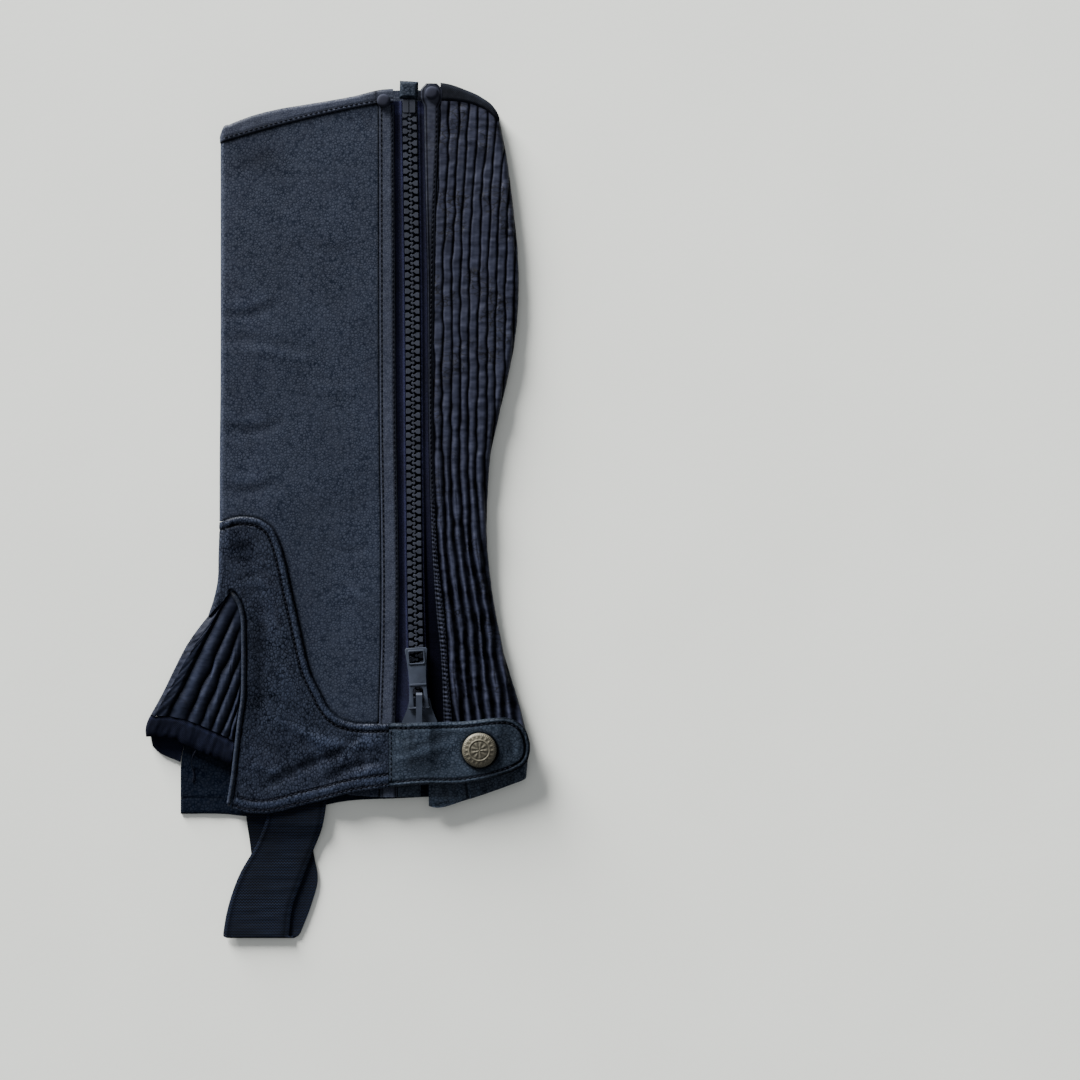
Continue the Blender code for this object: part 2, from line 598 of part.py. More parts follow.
def gusset_fold(rows):
    """Points down the gusset's fold, and the direction in from the fold at each."""
    fold = path(GUSSET_FOLD, np.linspace(0, 1, rows))
    along = np.gradient(fold, axis=0)
    return fold, np.stack([-along[:, 1], along[:, 0]], axis=1) / np.linalg.norm(along, axis=1)[:, None]


def make_gusset():
    """Ribs fan out on the upper leaf; the wall turns at the instep fold and lies flat below."""
    rows = 9
    shares = np.linspace(0, 1, rows)
    quarter = math.pi * GUSSET_RADIUS / 2
    fold, inward = gusset_fold(rows)
    tops = [fold[0] + inward[0] * GUSSET_RADIUS, np.array(APEX)]
    tops += [np.array(piping_side(y, -1)) for y in GUSSET_RIB_TOPS]
    bottoms = [fold[-1] + inward[-1] * GUSSET_RADIUS] + [np.array(p) for p in GUSSET_EDGE[1:]]
    columns = []
    for share in (1.0, 0.5):
        points = [[], []]
        for k, y in enumerate(np.linspace(-50.0, UNDER_GUSSET_END, rows)):
            near = fold[k] + inward[k] * GUSSET_RADIUS
            far = np.array((inner_front_x(y) - SEAM, y))
            x, y = near + (far - near) * share
            points[0].append((x, y, 0.0))
            points[1].append((x, y, GUSSET_WALL))
        columns.append(points)
    for run in np.linspace(-quarter, quarter, 5)[:-1]:
        columns.append([[slanted_place(fold[k], inward[k], run, GUSSET_RADIUS, depth) for k in range(rows)]
                        for depth in (0.0, GUSSET_WALL)])
    ribs = len(tops) - 1
    for rib in range(ribs):
        for part, lift in RIB_SHAPE + ([(1.0, 0.0)] if rib == ribs - 1 else []):
            top = tops[rib] + (tops[rib + 1] - tops[rib]) * part
            bottom = bottoms[rib] + (bottoms[rib + 1] - bottoms[rib]) * part
            points = [[], []]
            for v in shares:
                x, y = top + (bottom - top) * v
                swell = GUSSET_RIB_HEIGHT * lift * step(-0.05, 0.2, v) * (1 - 0.5 * step(0.8, 1.0, v))
                points[0].append((x, y, GUSSET_LEVEL + swell))
                points[1].append((x, y, GUSSET_LEVEL - GUSSET_WALL))
            columns.append(points)
    outer, inner = zip(*columns)
    wall("gusset", outer, inner, RIB_LEATHER)


def make_gusset_binding():
    """The tape round the gusset's open lower edge, from the foot panel's cord, round the fold, to the underside."""
    rows = 4
    shares = np.linspace(0, 1, rows)
    radius = GUSSET_RADIUS
    quarter = math.pi * radius / 2
    gusset_line, gusset_inward = gusset_fold(9)
    fold = path(GUSSET_BINDING_FOLD, shares)
    inward = [gusset_inward[-1] * (1 - v) + np.array((1.0, 0.1)) * v for v in shares]
    clear = np.array((-0.15, -2 * SEAM))
    top_near = gusset_line[-1] + gusset_inward[-1] * radius + clear
    bottom_near = fold[-1] + inward[-1] * radius
    under_far = np.array((inner_front_x(UNDER_GUSSET_END) - 2 * SEAM, UNDER_GUSSET_END)) + clear
    under_lower = [tuple(bottom_near)] + UNDER_BINDING_LOWER[1:]
    upper_line = [tuple(top_near)] + [(x, y - 2 * SEAM) for x, y in GUSSET_EDGE[1:]]
    lower_line = [tuple(bottom_near)] + GUSSET_BINDING_LOWER[1:]
    columns = []
    for share in (1.0, 0.66, 0.33):
        upper = top_near + (under_far - top_near) * share
        lower = path(under_lower, [share])[0]
        line = [upper + (lower - upper) * v for v in shares]
        columns.append([[(x, y, z) for x, y in line] for z in (0.0, GUSSET_WALL)])
    for run in np.linspace(-quarter, quarter, 6):
        columns.append([[slanted_place(fold[k], inward[k], run, radius, depth, GUSSET_BINDING_RISE * (depth == 0))
                         for k in range(rows)] for depth in (0.0, GUSSET_WALL)])
    for share in np.linspace(0.08, 1.0, 12):
        upper, lower = path(upper_line, [share])[0], path(lower_line, [share])[0]
        line = [upper + (lower - upper) * v for v in shares]
        columns.append([[(x, y, GUSSET_LEVEL + GUSSET_BINDING_RISE) for x, y in line],
                        [(x, y, GUSSET_LEVEL - GUSSET_WALL) for x, y in line]])
    outer, inner = zip(*columns)
    wall("gusset_binding", outer, inner, WOVEN_TAPE)


# ---------------------------------------------------------------- strap and stirrup


def strap_height(x, y):
    """The height of the strap's underside: it arches over the zip's slider, most of all at its upper edge."""
    over_slider = 1 - step(-CROWN_SHADOW[0], -CROWN_SHADOW[1], -y)
    high, low = straight(STRAP_HEIGHTS, x), straight(STRAP_BASE_HEIGHTS, x)
    return low + (high - low) * over_slider


def make_strap():
    rows = 8
    columns = []
    for x in (29.9, 33.5, 36.5, 39.5, 42, 47.5, 53.5, 56, 58.5, 62, 66, 74, 82, 90, 97, 102, 106, 109, 110.6, 111.4):
        ys = np.linspace(smooth(STRAP_UPPER, x), smooth(STRAP_LOWER, x), rows)
        inner = [(x, y, strap_height(x, y)) for y in ys]
        columns.append(([(x, y, z + STRAP_WALL) for x, y, z in inner], inner))
    outer, inner = zip(*columns)
    wall("strap", outer, inner, STRAP_LEATHER)


def make_stirrup():
    """The elastic loop: down in front, folded at its end, and up behind to the inner leaf."""
    ys = list(np.linspace(-157.0, -179.5, 5)) + list(np.linspace(-183.0, -194.0, 4)) + [-202, -211, -220, -230, -239]
    turn_radius = ELASTIC + SEAM / 2
    turn_y = STIRRUP_END + turn_radius

    def drop(y):
        return LEATHER + SEAM - (LEATHER + SEAM) * step(-STIRRUP_DROP[0], -STIRRUP_DROP[1], -y)

    def run_rows(left, right, outer_level, inner_level, order):
        for y in order:
            yield ([(smooth(edge, y), y, outer_level + drop(y)) for edge in (left, right)],
                   [(smooth(edge, y), y, inner_level + drop(y)) for edge in (left, right)])

    front_outer, front_inner = 2 * ELASTIC + SEAM, ELASTIC + SEAM
    lines = list(run_rows(FRONT_LEFT, FRONT_RIGHT, front_outer, front_inner, ys + [turn_y]))
    for angle in np.linspace(0, math.pi, 7)[1:-1]:
        share = angle / math.pi
        pair = []
        for radius in (turn_radius, SEAM / 2):
            pair.append([(a + (b - a) * share, turn_y - radius * math.sin(angle), turn_radius + radius * math.cos(angle))
                         for a, b in ((smooth(FRONT_LEFT, -248.0), smooth(BACK_LEFT, -248.0)),
                                      (smooth(FRONT_RIGHT, -248.0), smooth(BACK_RIGHT, -248.0)))])
        lines.append(tuple(pair))
    lines += list(run_rows(BACK_LEFT, BACK_RIGHT, 0.0, ELASTIC, [turn_y] + ys[::-1]))
    outer, inner = zip(*lines)
    wall("stirrup", outer, inner, ELASTIC_WEAVE)


# ---------------------------------------------------------------- zip


def band_outline(left, right, ys):
    """The outline of a long flat strip between two edges that are rows of (y, x)."""
    return [(left(y), y) for y in ys] + [(right(y), y) for y in ys[::-1]]


def make_facings_and_tapes():
    ys = np.linspace(234.9, -157.5, 17)
    outline = band_outline(lambda y: smooth(SHIN_FACING_LEFT, y), lambda y: smooth(SHIN_FACING_RIGHT, y), ys)
    end, upper, lower = SHIN_FACING_FOOT
    foot = [(end, upper), (end, lower), (smooth(SHIN_FACING_LEFT, lower), lower)]
    outline = outline[:17] + foot[::-1] + outline[17:]
    flat_piece("facing_shin", outline, *FACING_LEVELS, LEG_LEATHER)
    ys = np.linspace(247.2, CALF_TAPE_END, 17)
    outline = band_outline(lambda y: smooth(CALF_FACING_LEFT, y), lambda y: smooth(CALF_FACING_RIGHT, y), ys)
    flat_piece("facing_calf", outline, *FACING_LEVELS, LEG_LEATHER)

    clear = CHAIN_WIDTH / 2 + SEAM
    ys = np.linspace(TAPE_TOP, SHIN_TAPE_END, 15)
    outline = band_outline(lambda y: smooth(SHIN_FACING_RIGHT, y) - 6.0, lambda y: smooth(CHAIN, y) - clear, ys)
    flat_piece("tape_shin", outline, *TAPE_LEVELS, WOVEN_TAPE)
    ys = np.linspace(TAPE_TOP, CALF_TAPE_END, 15)
    outline = band_outline(lambda y: smooth(CHAIN, y) + clear, lambda y: smooth(CALF_FACING_RIGHT, y) - SEAM, ys)
    flat_piece("tape_calf", outline, *TAPE_LEVELS, WOVEN_TAPE)


def make_chain():
    """The closed teeth as one bar, and the box and pin that end it at the top."""
    half = CHAIN_WIDTH / 2
    ys = np.linspace(230.0, WEDGE_TOP + SEAM, 14)
    outline = band_outline(lambda y: smooth(CHAIN, y) - half, lambda y: smooth(CHAIN, y) + half, ys)
    teeth = flat_piece("zip_teeth", outline, *TEETH_LEVELS, MOULDED)
    soften(teeth, 0.6, 1)
    for name, left, right in (("zip_box", 37.7, 41.1), ("zip_pin", 41.5, 44.9)):
        bar = flat_piece(name, [(left, 230.3), (right, 230.3), (right, 238.2), (left, 238.2)], 2.8, 6.2, MOULDED)
        soften(bar, 0.5, 1)
    tab = flat_piece("zip_tab", [(35.8, 238.9), (46.2, 238.5), (46.6, 248.3), (36.0, 248.9)], 3.0, 7.4, FOOT_LEATHER)
    soften(tab, 0.9, 2)


def prism_along_x(name, profile, centre_x, width, material, collection):
    """A solid with an outline of (y, z) points, pushed out to a width along X."""
    build = bmesh.new()
    ring = [build.verts.new(((centre_x - width / 2) * MM, y * MM, z * MM)) for y, z in profile]
    raised = bmesh.ops.extrude_face_region(build, geom=[build.faces.new(ring)])
    corners = [v for v in raised["geom"] if isinstance(v, bmesh.types.BMVert)]
    bmesh.ops.translate(build, verts=corners, vec=(width * MM, 0, 0))
    return add_mesh(name, build, material, collection)


def make_slider():
    """Two plates joined by a wedge, and the bridge that the pull turns in."""
    right = [(SLIDER_X + half, SLIDER_TOP - down) for half, down in SLIDER_PLATE]
    left = [(SLIDER_X - half, SLIDER_TOP - down) for half, down in SLIDER_PLATE]
    outline = right + left[::-1]
    slider = flat_piece("zip_slider", outline, SLIDER_LEVELS[2], SLIDER_LEVELS[3], PAINTED_METAL)
    below = flat_piece("slider_lower_plate", outline, SLIDER_LEVELS[0], SLIDER_LEVELS[1], PAINTED_METAL, HELPERS)
    end = SLIDER_TOP - SLIDER_PLATE[-1][1]
    wedge = flat_piece("slider_wedge", [(SLIDER_X - 1.2, WEDGE_TOP), (SLIDER_X + 1.2, WEDGE_TOP), (SLIDER_X + 3.4, end + 0.4),
                                        (SLIDER_X - 3.4, end + 0.4)], SLIDER_LEVELS[1] - 0.3, SLIDER_LEVELS[2] + 0.3,
                       PAINTED_METAL, HELPERS)
    front, back = CROWN_SPAN
    under, over = CROWN_LEVELS
    plate = SLIDER_LEVELS[3] - 0.4
    profile = [(front, plate + 0.7), (front + 0.1, over - 1.0), (front - 1.2, over), (back + 2.2, over), (back + 0.2, over - 1.4),
               (back, plate), (back + 1.8, plate), (back + 2.2, under - 0.6), (back + 3.4, under), (front - 2.2, under),
               (front - 1.6, under - 0.5), (front - 1.6, plate + 0.7)]
    bridge = prism_along_x("slider_bridge", profile, PULL_AXIS[0], CROWN_WIDTH, PAINTED_METAL, HELPERS)
    for other in (below, wedge, bridge):
        join_to(slider, other)


def rounded_box(left, right, low, high, low_radius, high_radius, steps=4):
    """The outline of a rectangle with rounded corners, of one radius at its low edge and one at its high edge."""
    corners = [(right - high_radius, high - high_radius, high_radius, 0), (left + high_radius, high - high_radius, high_radius, 90),
               (left + low_radius, low + low_radius, low_radius, 180), (right - low_radius, low + low_radius, low_radius, 270)]
    outline = []
    for x, y, radius, start in corners:
        for k in range(steps + 1):
            angle = math.radians(start + 90 * k / steps)
            outline.append((x + radius * math.cos(angle), y + radius * math.sin(angle)))
    return outline


def make_pull():
    """The pull tab, in its own frame: its bar on the X axis and its blade along +Y."""
    blade = [(-5.9, 0.0), (-5.0, 12.0), (-5.2, 22.0), (-6.5, 33.8), (-5.7, 34.9), (5.7, 34.9), (6.5, 33.8),
             (5.2, 22.0), (5.0, 12.0), (5.9, 0.0)]
    window = rounded_box(-4.1, 4.1, 26.0, 32.6, 0.8, 0.8)
    slot = rounded_box(-3.0, 3.0, 0.6, 12.3, 0.8, 2.6)
    curve = bpy.data.curves.new("zip_pull", "CURVE")
    curve.dimensions = "2D"
    curve.fill_mode = "BOTH"
    curve.extrude = PULL_WALL / 2 * MM
    for ring in (blade, window, slot):
        spline = curve.splines.new("POLY")
        spline.points.add(len(ring) - 1)
        for point, (x, y) in zip(spline.points, ring):
            point.co = (x * MM, y * MM, 0.0, 1.0)
        spline.use_cyclic_u = True
    flat = bpy.data.objects.new("flat_pull", curve)
    CHAP.objects.link(flat)
    bpy.context.view_layer.update()
    mesh = bpy.data.meshes.new_from_object(flat.evaluated_get(bpy.context.evaluated_depsgraph_get()))
    bpy.data.objects.remove(flat)
    build = bmesh.new()
    build.from_mesh(mesh)
    bmesh.ops.remove_doubles(build, verts=build.verts, dist=0.000001)
    pull = add_mesh("zip_pull", build, PAINTED_METAL)
    pull.location = [c * MM for c in PULL_AXIS]
    pull.rotation_euler.x = math.radians(PULL_REST_TILT)

    build = bmesh.new()
    bmesh.ops.create_cone(build, cap_ends=True, segments=12, radius1=PULL_BAR_RADIUS * MM, radius2=PULL_BAR_RADIUS * MM,
                          depth=11.8 * MM)
    bar = add_mesh("pull_bar", build, PAINTED_METAL, HELPERS)
    bar.rotation_euler.y = math.radians(90)
    bar.location = pull.location
    join_to(pull, bar)


def make_fasteners():
    dome = [(0.0, 1.9), (1.5, 1.75), (2.8, 1.2), (3.5, 0.5), (RIVET_RADIUS, 0.0), (0.0, 0.0)]
    turned("rivet_shin", dome, SHIN_RIVET, MOULDED, 24)
    turned("rivet_calf", dome, CALF_RIVET, MOULDED, 24)
    cap = [(0.0, 2.6), (3.5, 2.55), (6.4, 2.2), (7.6, 1.8), (8.2, 1.75), (8.7, 2.1), (9.4, 1.9), (9.9, 1.2),
           (SNAP_RADIUS, 0.5), (9.7, 0.0), (0.0, 0.0)]
    level = strap_height(*SNAP_CENTRE) + STRAP_WALL + SEAM
    turned("snap_cap", cap, (*SNAP_CENTRE, level), ANTIQUE_BRASS, 40)


make_leg_panel()
make_calf_panel()
make_bindings()
make_calf_hem()
make_foot_panel_outer()
make_foot_panel_inner()
make_piping()
make_gusset()
make_gusset_binding()
make_strap()
make_stirrup()
make_facings_and_tapes()
make_chain()
make_slider()
make_pull()
make_fasteners()
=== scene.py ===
"""The looks of a leather half chap laid flat. It repeats the frame's sizes, lays a finer shell over each cloth solid,
with its grain, ribs, creases and stitches, and adds the zip's teeth, the snap's relief, the floor, one light and the
camera.

X runs from the shin fold to the calf fold, Y up the leg, Z up from the surface. Sizes are in millimetres and become
metres where a mesh is made.
"""

import math

import bmesh
import bpy
import numpy as np
from mathutils import Matrix, Vector


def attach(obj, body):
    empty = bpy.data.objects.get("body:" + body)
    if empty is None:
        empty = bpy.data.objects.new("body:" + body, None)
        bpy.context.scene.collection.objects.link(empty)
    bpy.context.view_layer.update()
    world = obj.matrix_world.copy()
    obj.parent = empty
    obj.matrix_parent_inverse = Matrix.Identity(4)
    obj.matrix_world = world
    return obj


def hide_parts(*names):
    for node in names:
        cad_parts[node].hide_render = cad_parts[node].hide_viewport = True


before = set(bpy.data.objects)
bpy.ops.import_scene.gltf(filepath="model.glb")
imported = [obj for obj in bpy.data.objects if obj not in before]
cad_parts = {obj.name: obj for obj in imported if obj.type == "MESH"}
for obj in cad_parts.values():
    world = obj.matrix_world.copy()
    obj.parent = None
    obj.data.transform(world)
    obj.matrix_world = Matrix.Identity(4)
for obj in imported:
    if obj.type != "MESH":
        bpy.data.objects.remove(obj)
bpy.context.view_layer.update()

MM = 0.001

# Cloth: the two leaves of the flattened leg lie on each other, parted by a narrow gap.
LEATHER = 1.4
SEAM = 0.3
LEAF_GAP = 3.4
TOP_INSIDE = LEATHER + LEAF_GAP
TOP_OUTSIDE = TOP_INSIDE + LEATHER
FOLD_RADIUS = TOP_OUTSIDE / 2
QUARTER = math.pi * FOLD_RADIUS / 2
LAP_RISE = LEATHER + SEAM

# The two long folds, as rows of (y, x of the outermost line).
SHIN_FOLD = [
    (222.0, -68.4), (92.9, -68.4), (17.5, -69.0), (-5.7, -69.0),
    (-26.0, -69.6), (-41.6, -70.2), (-52.1, -72.5), (-61.0, -75.5),
]
# The leg panel's own fold runs straight on under the foot panel.
LEG_FOLD = [row for row in SHIN_FOLD if row[0] > -6.0]
CALF_FOLD = [
    (231.0, 92.5), (208.9, 96.9), (179.9, 100.9), (150.9, 103.9), (121.9, 104.4), (92.9, 101.5), (63.9, 95.1),
    (34.9, 88.7), (11.5, 86.4), (-23.1, 86.4), (-57.9, 90.5), (-92.7, 98.6), (-110.1, 103.8), (-121.7, 107.3),
    (-136.2, 110.2), (-155.9, 109.3),
]
# The seam on the underside between the leg panel and the calf panel, as rows of (y, x).
BACK_SEAM = [
    (232.1, 64.5), (177.6, 71.5), (139.3, 74.6), (92.9, 71.7), (63.9, 65.3), (34.9, 59.5), (5.9, 57.6),
    (-23.1, 57.6), (-57.9, 61.6), (-92.7, 69.8), (-110.1, 75.0), (-123.4, 78.6), (-139.1, 81.5), (-165.2, 81.5),
]

# Top edges, as rows of (x, y): each binding lies between its lower and its upper edge.
BINDING_RISE = 0.8
LEG_TOP_UPPER = [
    (-68.4, 217.5), (-66.5, 221.8), (-62.6, 223.6), (-48.7, 228.9), (-36.0, 232.1), (-17.4, 235.3),
    (8.1, 239.7), (26.7, 243.9), (34.0, 244.2), (80.0, 244.0),
]
LEG_TOP_LOWER = [
    (-68.4, 212.9), (-48.7, 218.8), (-23.2, 225.8), (1.7, 231.6), (22.0, 235.3), (34.0, 236.6),
    (80.0, 236.6),
]
LEG_BINDING_END = 32.0
CALF_TOP_UPPER = [(58.0, 248.0), (65.0, 246.8), (73.1, 244.0), (83.5, 239.2), (90.0, 234.2), (92.5, 230.9)]
CALF_TOP_LOWER = [(58.0, 237.4), (70.2, 236.9), (80.6, 234.5), (88.2, 230.3), (92.5, 226.0)]

# The arched upper edge of the foot panels, as rows of (x, y), and the leg panel's edge hidden under it.
ARCH = [
    (-69.6, -7.4), (-66.0, -6.2), (-61.2, -4.5), (-51.0, -3.9), (-42.3, -6.8), (-36.5, -12.6), (-32.5, -22.5),
    (-29.6, -34.1), (-27.3, -45.1), (-23.2, -63.1), (-19.7, -79.3), (-15.7, -94.4), (-9.6, -106.9),
    (-4.6, -115.9), (6.4, -122.6), (24.9, -123.6), (82.0, -123.6),
]
LEG_LAP = [
    (-75.0, -7.1), (-66.0, -5.9), (-62.6, -4.7), (-59.2, -11.5), (-52.8, -11.5), (-47.0, -13.2), (-42.9, -17.3),
    (-39.4, -24.8), (-36.5, -35.2), (-33.6, -46.8), (-29.6, -64.2), (-26.1, -81.1), (-22.0, -96.7),
    (-15.7, -110.1), (-10.4, -119.3), (-4.6, -133.3), (1.2, -153.6), (4.6, -165.0), (24.5, -166.3),
]
LAP_FADE = 14.0
# Where the panels' columns lie along the arch of the lower leaf.
ARCH_COLUMNS = [-65.9, -60.6, -56.0, -51.0, -46.5, -42.3, -39.2, -36.5, -34.3, -32.5, -29.6, -27.3, -23.2, -19.7,
                -15.7, -9.6, -4.6, 1.0, 6.4, 24.9]

# The zip, closed, with its slider at the ankle: rows of (y, x).
CHAIN = [(231.0, 41.6), (145.1, 43.0), (5.9, 44.1), (-63.7, 45.0), (-81.1, 45.5), (-115.9, 47.4), (-160.0, 47.8)]
CHAIN_WIDTH = 8.3
TAPE_LEVELS = (3.5, 4.5)
TAPE_TOP = 237.4
SHIN_TAPE_END = -166.0
CALF_TAPE_END = -153.4
FACING_LEVELS = (5.2, 6.8)
SHIN_FACING_LEFT = [(234.9, 23.8), (63.9, 24.1), (-81.1, 24.9), (-121.7, 23.8), (-166.3, 24.4)]
SHIN_FACING_RIGHT = [(234.9, 32.8), (63.9, 33.9), (-81.1, 35.1), (-121.7, 33.6), (-157.0, 34.8)]
SHIN_FACING_FOOT = (48.1, -157.5, -166.3)
CALF_FACING_LEFT = [
    (247.2, 49.6), (208.9, 50.2), (145.1, 51.6), (5.9, 53.4), (-28.9, 54.8), (-63.7, 57.3), (-81.1, 59.2),
    (-118.8, 60.9), (-153.4, 61.5),
]
CALF_FACING_RIGHT = [
    (247.2, 59.0), (211.8, 58.4), (179.9, 57.0), (145.1, 56.1), (5.9, 56.6), (-28.9, 58.6), (-63.7, 62.6),
    (-98.5, 64.8), (-118.8, 66.6), (-153.4, 69.0),
]

# The calf panel's ribs, counted from the zip: rows of (y, distance from rib to rib).
RIB_PITCH = [(237.0, 5.7), (178.0, 5.2), (64.0, 5.1), (6.0, 4.8), (-58.0, 5.4), (-118.0, 6.0), (-156.0, 6.2)]
RIB_COUNT = 10
RIB_HEIGHT = 1.3

# The corded front edge of the foot panel, as rows of (y, x of the cord's middle).
PIPING = [
    (-47.8, -61.6), (-53.8, -57.4), (-60.8, -55.4), (-75.3, -54.7), (-92.7, -54.6), (-109.5, -55.1),
    (-121.7, -56.8), (-139.1, -58.9), (-156.5, -60.9), (-171.5, -63.4),
]
PIPING_RADIUS = 1.25
PIPING_LEVEL = 5.9
PIPING_REACH = PIPING_RADIUS + SEAM

# The foot panel's hem from its front corner to the strap, and where strap and panel meet.
FOOT_HEM = [
    (-61.8, -172.8), (-54.5, -175.0), (-41.2, -175.8), (-30.7, -173.9), (-22.0, -171.5), (-8.1, -168.1),
    (4.1, -164.6), (16.2, -162.3), (29.6, -160.5),
]
STRAP_SEAM = 29.6
APEX = (-62.9, -47.4)
TAIL = (-75.5, -61.0)
INNER_FRONT = [(-61.6, -48.5), (-77.1, -98.5), (-89.9, -136.2), (-91.7, -147.2), (-91.9, -160.0), (-91.9, -175.0)]
INNER_HEM = [
    (-90.9, -176.6), (-65.5, -176.8), (-54.5, -177.9), (-22.0, -174.4), (4.1, -169.2), (36.0, -167.5),
    (81.3, -165.2),
]

# The instep gusset: its fold from the foot panel's tail to its bound edge, and its rib lines, top and bottom.
GUSSET_LEVEL = 4.9
GUSSET_WALL = 1.3
GUSSET_RADIUS = GUSSET_LEVEL / 2
GUSSET_QUARTER = math.pi * GUSSET_RADIUS / 2
GUSSET_RIB_HEIGHT = 1.4
GUSSET_FOLD = [(-75.7, -61.5), (-81.2, -68.3), (-87.9, -77.9), (-93.7, -89.0), (-103.8, -109.5), (-108.7, -118.2)]
GUSSET_RIB_TOPS = [-56.1, -67.1, -84.5, -99.6, -111.8, -124.0]
GUSSET_EDGE = [(-108.7, -118.2), (-98.2, -119.3), (-87.6, -121.7), (-80.0, -124.6), (-73.7, -127.5), (-68.4, -129.8),
               (-63.8, -132.1), (-60.1, -134.0)]
GUSSET_BINDING_RISE = 0.6
GUSSET_BINDING_FOLD = [(-108.9, -118.6), (-110.9, -123.6), (-111.8, -128.0), (-111.6, -131.6)]
GUSSET_BINDING_LOWER = [(-109.2, -131.0), (-98.0, -131.8), (-89.3, -135.6), (-76.0, -141.4), (-62.2, -147.2)]
UNDER_BINDING_LOWER = [(-109.2, -131.4), (-108.4, -137.2), (-102.7, -142.0), (-92.2, -146.4)]
UNDER_GUSSET_END = -128.4

# The closing strap, as rows of (x, y) for its two edges, and its underside's height over what it crosses.
STRAP_WALL = 2.2
STRAP_UPPER = [
    (29.9, -123.4), (47.6, -122.8), (74.2, -122.2), (91.9, -120.3), (98.0, -120.2), (102.5, -121.6),
    (107.3, -125.1), (110.2, -130.2), (111.5, -135.5),
]
STRAP_LOWER = [
    (29.9, -160.5), (47.6, -158.8), (74.2, -158.0), (91.9, -154.1), (103.2, -150.1), (108.0, -147.0),
    (110.5, -143.2), (111.5, -139.0),
]
STRAP_HEIGHTS = [
    (29.9, 7.1), (35.0, 7.3), (39.5, 9.2), (42.0, 10.7), (53.5, 10.7), (58.5, 9.0), (66.0, 8.1), (111.5, 8.0),
]
STRAP_BASE_HEIGHTS = [(29.9, 7.1), (38.0, 7.3), (47.0, 8.0), (66.0, 8.1), (111.5, 8.0)]
CROWN_SHADOW = (-133.0, -156.0)

# The hem band under the calf panel, as rows of (x, y).
CALF_HEM_UPPER = [(52.2, -156.5), (74.2, -153.0), (91.9, -147.2), (110.2, -140.8)]
CALF_HEM_LOWER = [(52.2, -171.4), (54.5, -172.1), (74.2, -168.1), (91.9, -162.3), (110.2, -155.6)]
UNDER_HEM_UPPER = [(82.0, -150.5), (110.2, -140.8)]
UNDER_HEM_LOWER = [(82.0, -165.2), (110.2, -155.6)]

# The elastic stirrup: its four edges as rows of (y, x), front run and back run.
ELASTIC = 1.2
FRONT_LEFT = [(-157.0, -41.2), (-179.1, -41.8), (-194.2, -47.6), (-211.6, -57.4), (-223.7, -62.1), (-234.2, -65.0),
              (-248.0, -67.3)]
FRONT_RIGHT = [(-157.0, -5.4), (-171.0, -7.0), (-184.3, -9.3), (-198.8, -15.1), (-218.5, -22.6), (-229.0, -26.4),
               (-248.0, -29.0)]
BACK_LEFT = [(-157.0, -54.2), (-178.5, -53.4), (-198.2, -51.0), (-215.0, -49.9), (-229.0, -53.4), (-248.0, -60.9)]
BACK_RIGHT = [(-157.0, -15.7), (-178.5, -15.7), (-200.0, -14.5), (-215.0, -12.2), (-229.0, -15.7), (-248.0, -23.0)]
STIRRUP_END = -248.9
STIRRUP_DROP = (-179.5, -194.0)

# Metal and moulded parts.
SHIN_RIVET = (26.6, 237.0, 7.3)
CALF_RIVET = (54.5, 241.6, 7.1)
SNAP_CENTRE = (82.2, -138.7)
WEDGE_TOP = -124.6
PULL_AXIS = (47.3, -114.5, 8.3)
PULL_WALL = 1.2
PULL_BAR_RADIUS = 0.7
PULL_REST_TILT = -2.35

# How far in from its edge each row of stitches runs.
FACING_STITCH = 1.5
BINDING_STITCH = 1.9
ARCH_STITCH = 4.5
HEM_STITCHES = (1.9, 7.6)
STRAP_STITCH = 2.9

# ---------------------------------------------------------------- curves and folds


def smooth(table, at):
    """Reads a smooth curve through the (key, value) rows of a table, level past its ends."""
    keys, values = np.array(sorted(table), float).T
    at = np.clip(at, keys[0], keys[-1])
    slopes = np.gradient(values, keys)
    i = np.clip(np.searchsorted(keys, at, side="right") - 1, 0, len(keys) - 2)
    width = keys[i + 1] - keys[i]
    t = (at - keys[i]) / width
    start = (2 * t**3 - 3 * t**2 + 1) * values[i] + (t**3 - 2 * t**2 + t) * width * slopes[i]
    end = (3 * t**2 - 2 * t**3) * values[i + 1] + (t**3 - t**2) * width * slopes[i + 1]
    return start + end


def straight(table, at):
    """Reads straight lines between the (key, value) rows of a table, level past its ends."""
    keys, values = np.array(sorted(table), float).T
    return np.interp(at, keys, values)


def path(points, shares):
    """Points of a smooth curve through the given ones, at shares from 0 to 1 of its length."""
    points = np.array(points, float)
    run = np.concatenate([[0.0], np.cumsum(np.linalg.norm(np.diff(points, axis=0), axis=1))])
    at = np.asarray(shares) * run[-1]
    return np.stack([smooth(list(zip(run, axis)), at) for axis in points.T], axis=-1)


def step(low, high, at):
    """0 up to low, 1 from high on, and a smooth rise between. With high under low it is 1 up to high and 0 from low."""
    t = np.clip((at - low) / (high - low), 0.0, 1.0)
    return t * t * (3 - 2 * t)


def bump(at, middle, width):
    """1 at the middle, falling to 0 over about twice the width."""
    return np.exp(-(((at - middle) / width) ** 2))


def bumps(at, *rows):
    """The sum of bumps, each a row of (height, middle, width)."""
    return sum(height * bump(at, middle, width) for height, middle, width in rows)


def stack(*axes):
    return np.stack(np.broadcast_arrays(*axes), -1)


def between(a, b, share):
    return a + (b - a) * share


def evenly(count):
    """So many shares from 0 to 1."""
    return np.linspace(0, 1, count)


def hills(x, y, *rows):
    """The sum of noises, each a row of (height, length along X, length along Y, seed)."""
    return sum(height * noise(x / wide, y / long, seed) for height, wide, long, seed in rows)


